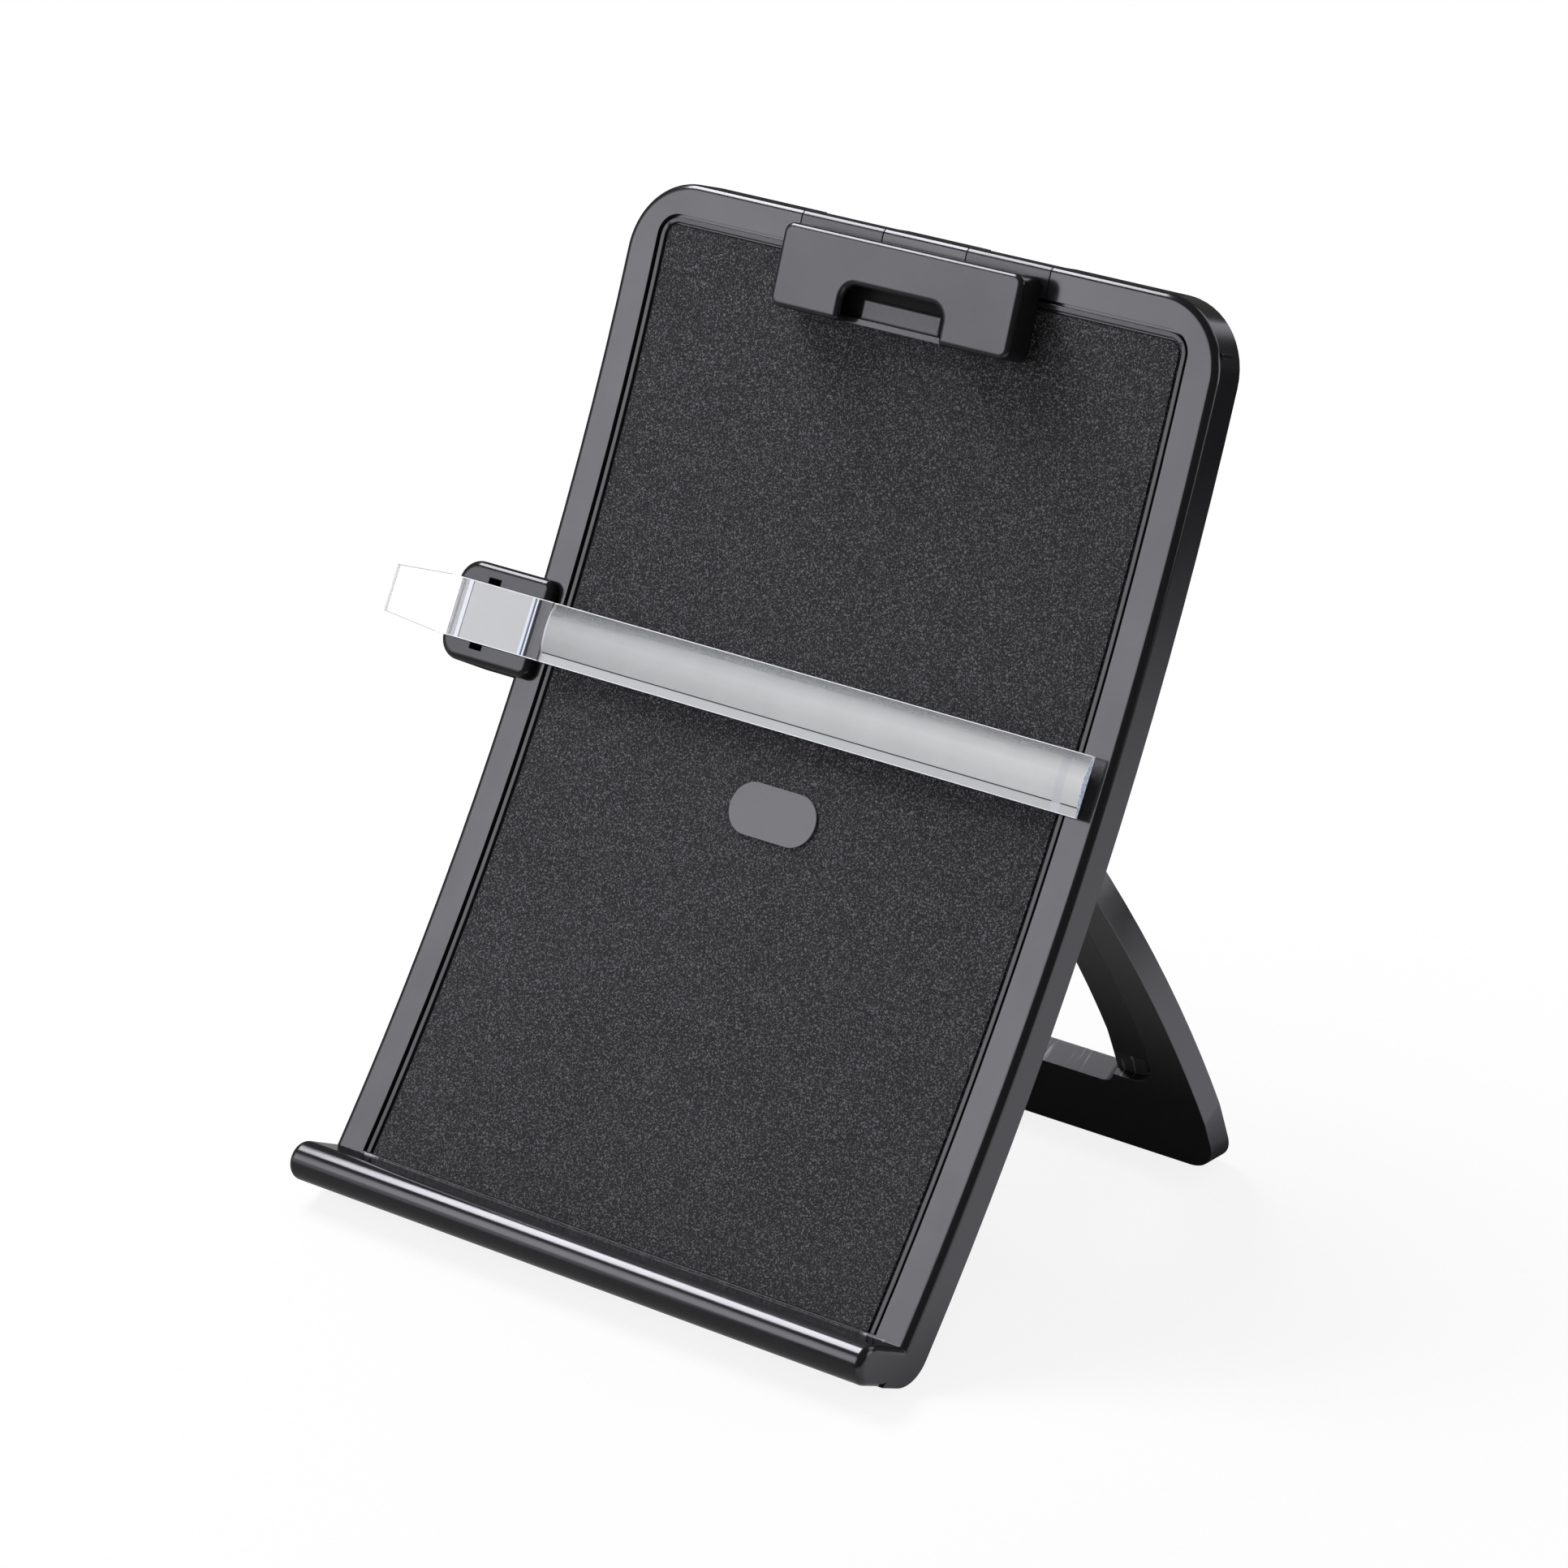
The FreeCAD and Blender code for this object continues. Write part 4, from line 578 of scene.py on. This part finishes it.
MATERIALS = {
    "board_shell": board_plastic(),
    "front_panel": grained_plastic(),
    "badge_plaque": satin_plastic("badge_grey", (0.108, 0.108, 0.111), 0.42),
    "board_foot_strip": soft_rubber(),
    "clip_cover": moulded_plastic("clip_black", (0.012, 0.012, 0.013), 0.17, specular=0.42),
    "clip_grip_bar": grip_plastic(),
    "slider_housing": moulded_plastic("slider_black", (0.010, 0.010, 0.011), 0.13, specular=0.36),
    "slider_screws": drawn_steel(),
    "glide_pads": felt(),
    "guide_bar": clear_plastic(),
    "leg_frame": leg_plastic(),
}
# Nodes that share the material of another node.
SAME = {
    "slider_back_cover": "slider_housing",
    "leg_foot_pads": "board_foot_strip",
    "clip_hinge_pin": "slider_screws",
    "clip_spring_left": "slider_screws",
    "clip_spring_right": "slider_screws",
    "leg_pin_left": "slider_screws",
    "leg_pin_right": "slider_screws",
    "slider_spring": "slider_screws",
}
for name, node in nodes.items():
    material = MATERIALS[SAME.get(name, name)]
    for place in node.material_slots:
        place.material = material
fine_board()


# ------------------------------------------------------------------ stage, light and camera

def ray_mix(tree, kinds, plain, special):
    """Mix of two shaders: the special one for the named kinds of ray."""
    path = tree.nodes.new("ShaderNodeLightPath")
    seen = path.outputs[kinds[0]]
    for kind in kinds[1:]:
        either = tree.nodes.new("ShaderNodeMath")
        either.operation = "MAXIMUM"
        tree.links.new(seen, either.inputs[0])
        tree.links.new(path.outputs[kind], either.inputs[1])
        seen = either.outputs[0]
    choose = tree.nodes.new("ShaderNodeMixShader")
    tree.links.new(seen, choose.inputs[0])
    tree.links.new(plain, choose.inputs[1])
    tree.links.new(special, choose.inputs[2])
    return choose.outputs["Shader"]


def floor_material():
    """Pale table top, near white to the camera, with the object's shadow.

    Polished faces see a painted reflection in it: a glowing lit patch on the right of the object only.
    Elsewhere they see it painted grey in front of the board and under it, and a painted shadow, nearly
    black, from the leg's foot backwards.
    """
    s = Shader("pale_floor")
    s.shader.inputs["Roughness"].default_value = 0.9
    cloud = s.node("ShaderNodeTexNoise")
    cloud.inputs["Scale"].default_value = 30.0
    pale = s.mix(cloud.outputs["Fac"], (0.84, 0.84, 0.84), (0.86, 0.86, 0.86))
    s.put(s.shader.inputs["Base Color"], pale)
    split = s.node("ShaderNodeSeparateXYZ")
    s.put(split.inputs[0], s.place)
    away = s.vector("LENGTH", s.place)
    # Painted reflection for glossy rays: grey in front, a painted shadow behind, and a glowing lit
    # patch on the right.
    dark = s.mix(s.ramp(split.outputs["Y"], *BACK_Y), FRONT_PAINTED_TONE, BACK_PAINTED_SHADOW)
    painted_lit_patch = s.math("MULTIPLY", s.ramp(split.outputs["X"], *LIT_X), s.ramp(away, *LIT_AWAY))
    painted_reflection = s.node("ShaderNodeEmission")
    s.put(painted_reflection.inputs["Color"], s.mix(painted_lit_patch, dark, PAINTED_LIT_TONE))
    white = s.node("ShaderNodeEmission")
    shaded = s.node("ShaderNodeMixShader")
    s.put(shaded.inputs[0], s.ramp(away, *WHITE_AWAY, WHITE_SHARE))
    s.put(shaded.inputs[1], s.shader.outputs["BSDF"])
    s.put(shaded.inputs[2], white.outputs["Emission"])
    plain = ray_mix(s.tree, ["Is Glossy Ray"], s.shader.outputs["BSDF"], painted_reflection.outputs["Emission"])
    seen = ray_mix(s.tree, ["Is Camera Ray", "Is Transmission Ray"], plain, shaded.outputs["Shader"])
    s.put(s.output.inputs["Surface"], seen)
    return s.material


def floor():
    mesh = bpy.data.meshes.new("floor")
    size = FLOOR_HALF_SIZE
    corners = [(-size, -size, 0), (size, -size, 0), (size, size, 0), (-size, size, 0)]
    mesh.from_pydata(corners, [], [(0, 1, 2, 3)])
    item = bpy.data.objects.new("floor", mesh)
    mesh.materials.append(floor_material())
    bpy.context.scene.collection.objects.link(item)


def softbox(name, place, aim, width, height, power):
    """Rectangular light that faces a point."""
    data = bpy.data.lights.new(name, "AREA")
    data.shape = "RECTANGLE"
    data.size = width
    data.size_y = height
    data.energy = power
    data.color = LIGHT_COLOR
    item = bpy.data.objects.new(name, data)
    item.location = place
    item.rotation_euler = (Vector(aim) - Vector(place)).to_track_quat("-Z", "Y").to_euler()
    bpy.context.scene.collection.objects.link(item)


def world():
    """Dim room, white behind the object."""
    item = bpy.data.worlds.new("studio")
    item.use_nodes = True
    tree = item.node_tree
    room = tree.nodes["Background"]
    room.inputs["Color"].default_value = (0.25, 0.25, 0.25, 1.0)
    dark = tree.nodes.new("ShaderNodeBackground")
    dark.inputs["Color"].default_value = (0.10, 0.10, 0.10, 1.0)
    white = tree.nodes.new("ShaderNodeBackground")
    white.inputs["Color"].default_value = (1.0, 1.0, 1.0, 1.0)
    plain = ray_mix(tree, ["Is Glossy Ray"], room.outputs["Background"], dark.outputs["Background"])
    seen = ray_mix(tree, ["Is Camera Ray", "Is Transmission Ray"], plain, white.outputs["Background"])
    tree.links.new(seen, tree.nodes["World Output"].inputs["Surface"])
    bpy.context.scene.world = item


def camera():
    data = bpy.data.cameras.new("camera")
    data.sensor_width = 36.0
    data.lens = FOCAL_LENGTH
    data.clip_start = 0.05
    item = bpy.data.objects.new("camera", data)
    item.location = CAMERA_PLACE
    item.rotation_euler = Vector(CAMERA_FORWARD).to_track_quat("-Z", "Y").to_euler()
    bpy.context.scene.collection.objects.link(item)
    bpy.context.scene.camera = item


floor()
world()
softbox("overhead_box", (-0.88, 0.12, 1.36), OBJECT_MIDDLE, 0.84, 0.50, 22.0)
softbox("left_front_box", (-0.78, -1.19, 0.90), OBJECT_MIDDLE, 0.96, 0.88, 8.0)
softbox("left_fill", (-1.25, -1.05, 0.62), OBJECT_MIDDLE, 1.00, 1.15, 5.0)
softbox("back_fill", (0.50, 1.50, 1.10), OBJECT_MIDDLE, 1.20, 1.00, 6.0)
softbox("right_back_box", (1.25, 0.79, 0.38), (0.10, 0.12, 0.12), 0.60, 0.85, 4.4)
camera()
bpy.context.scene.view_settings.view_transform = "Standard"
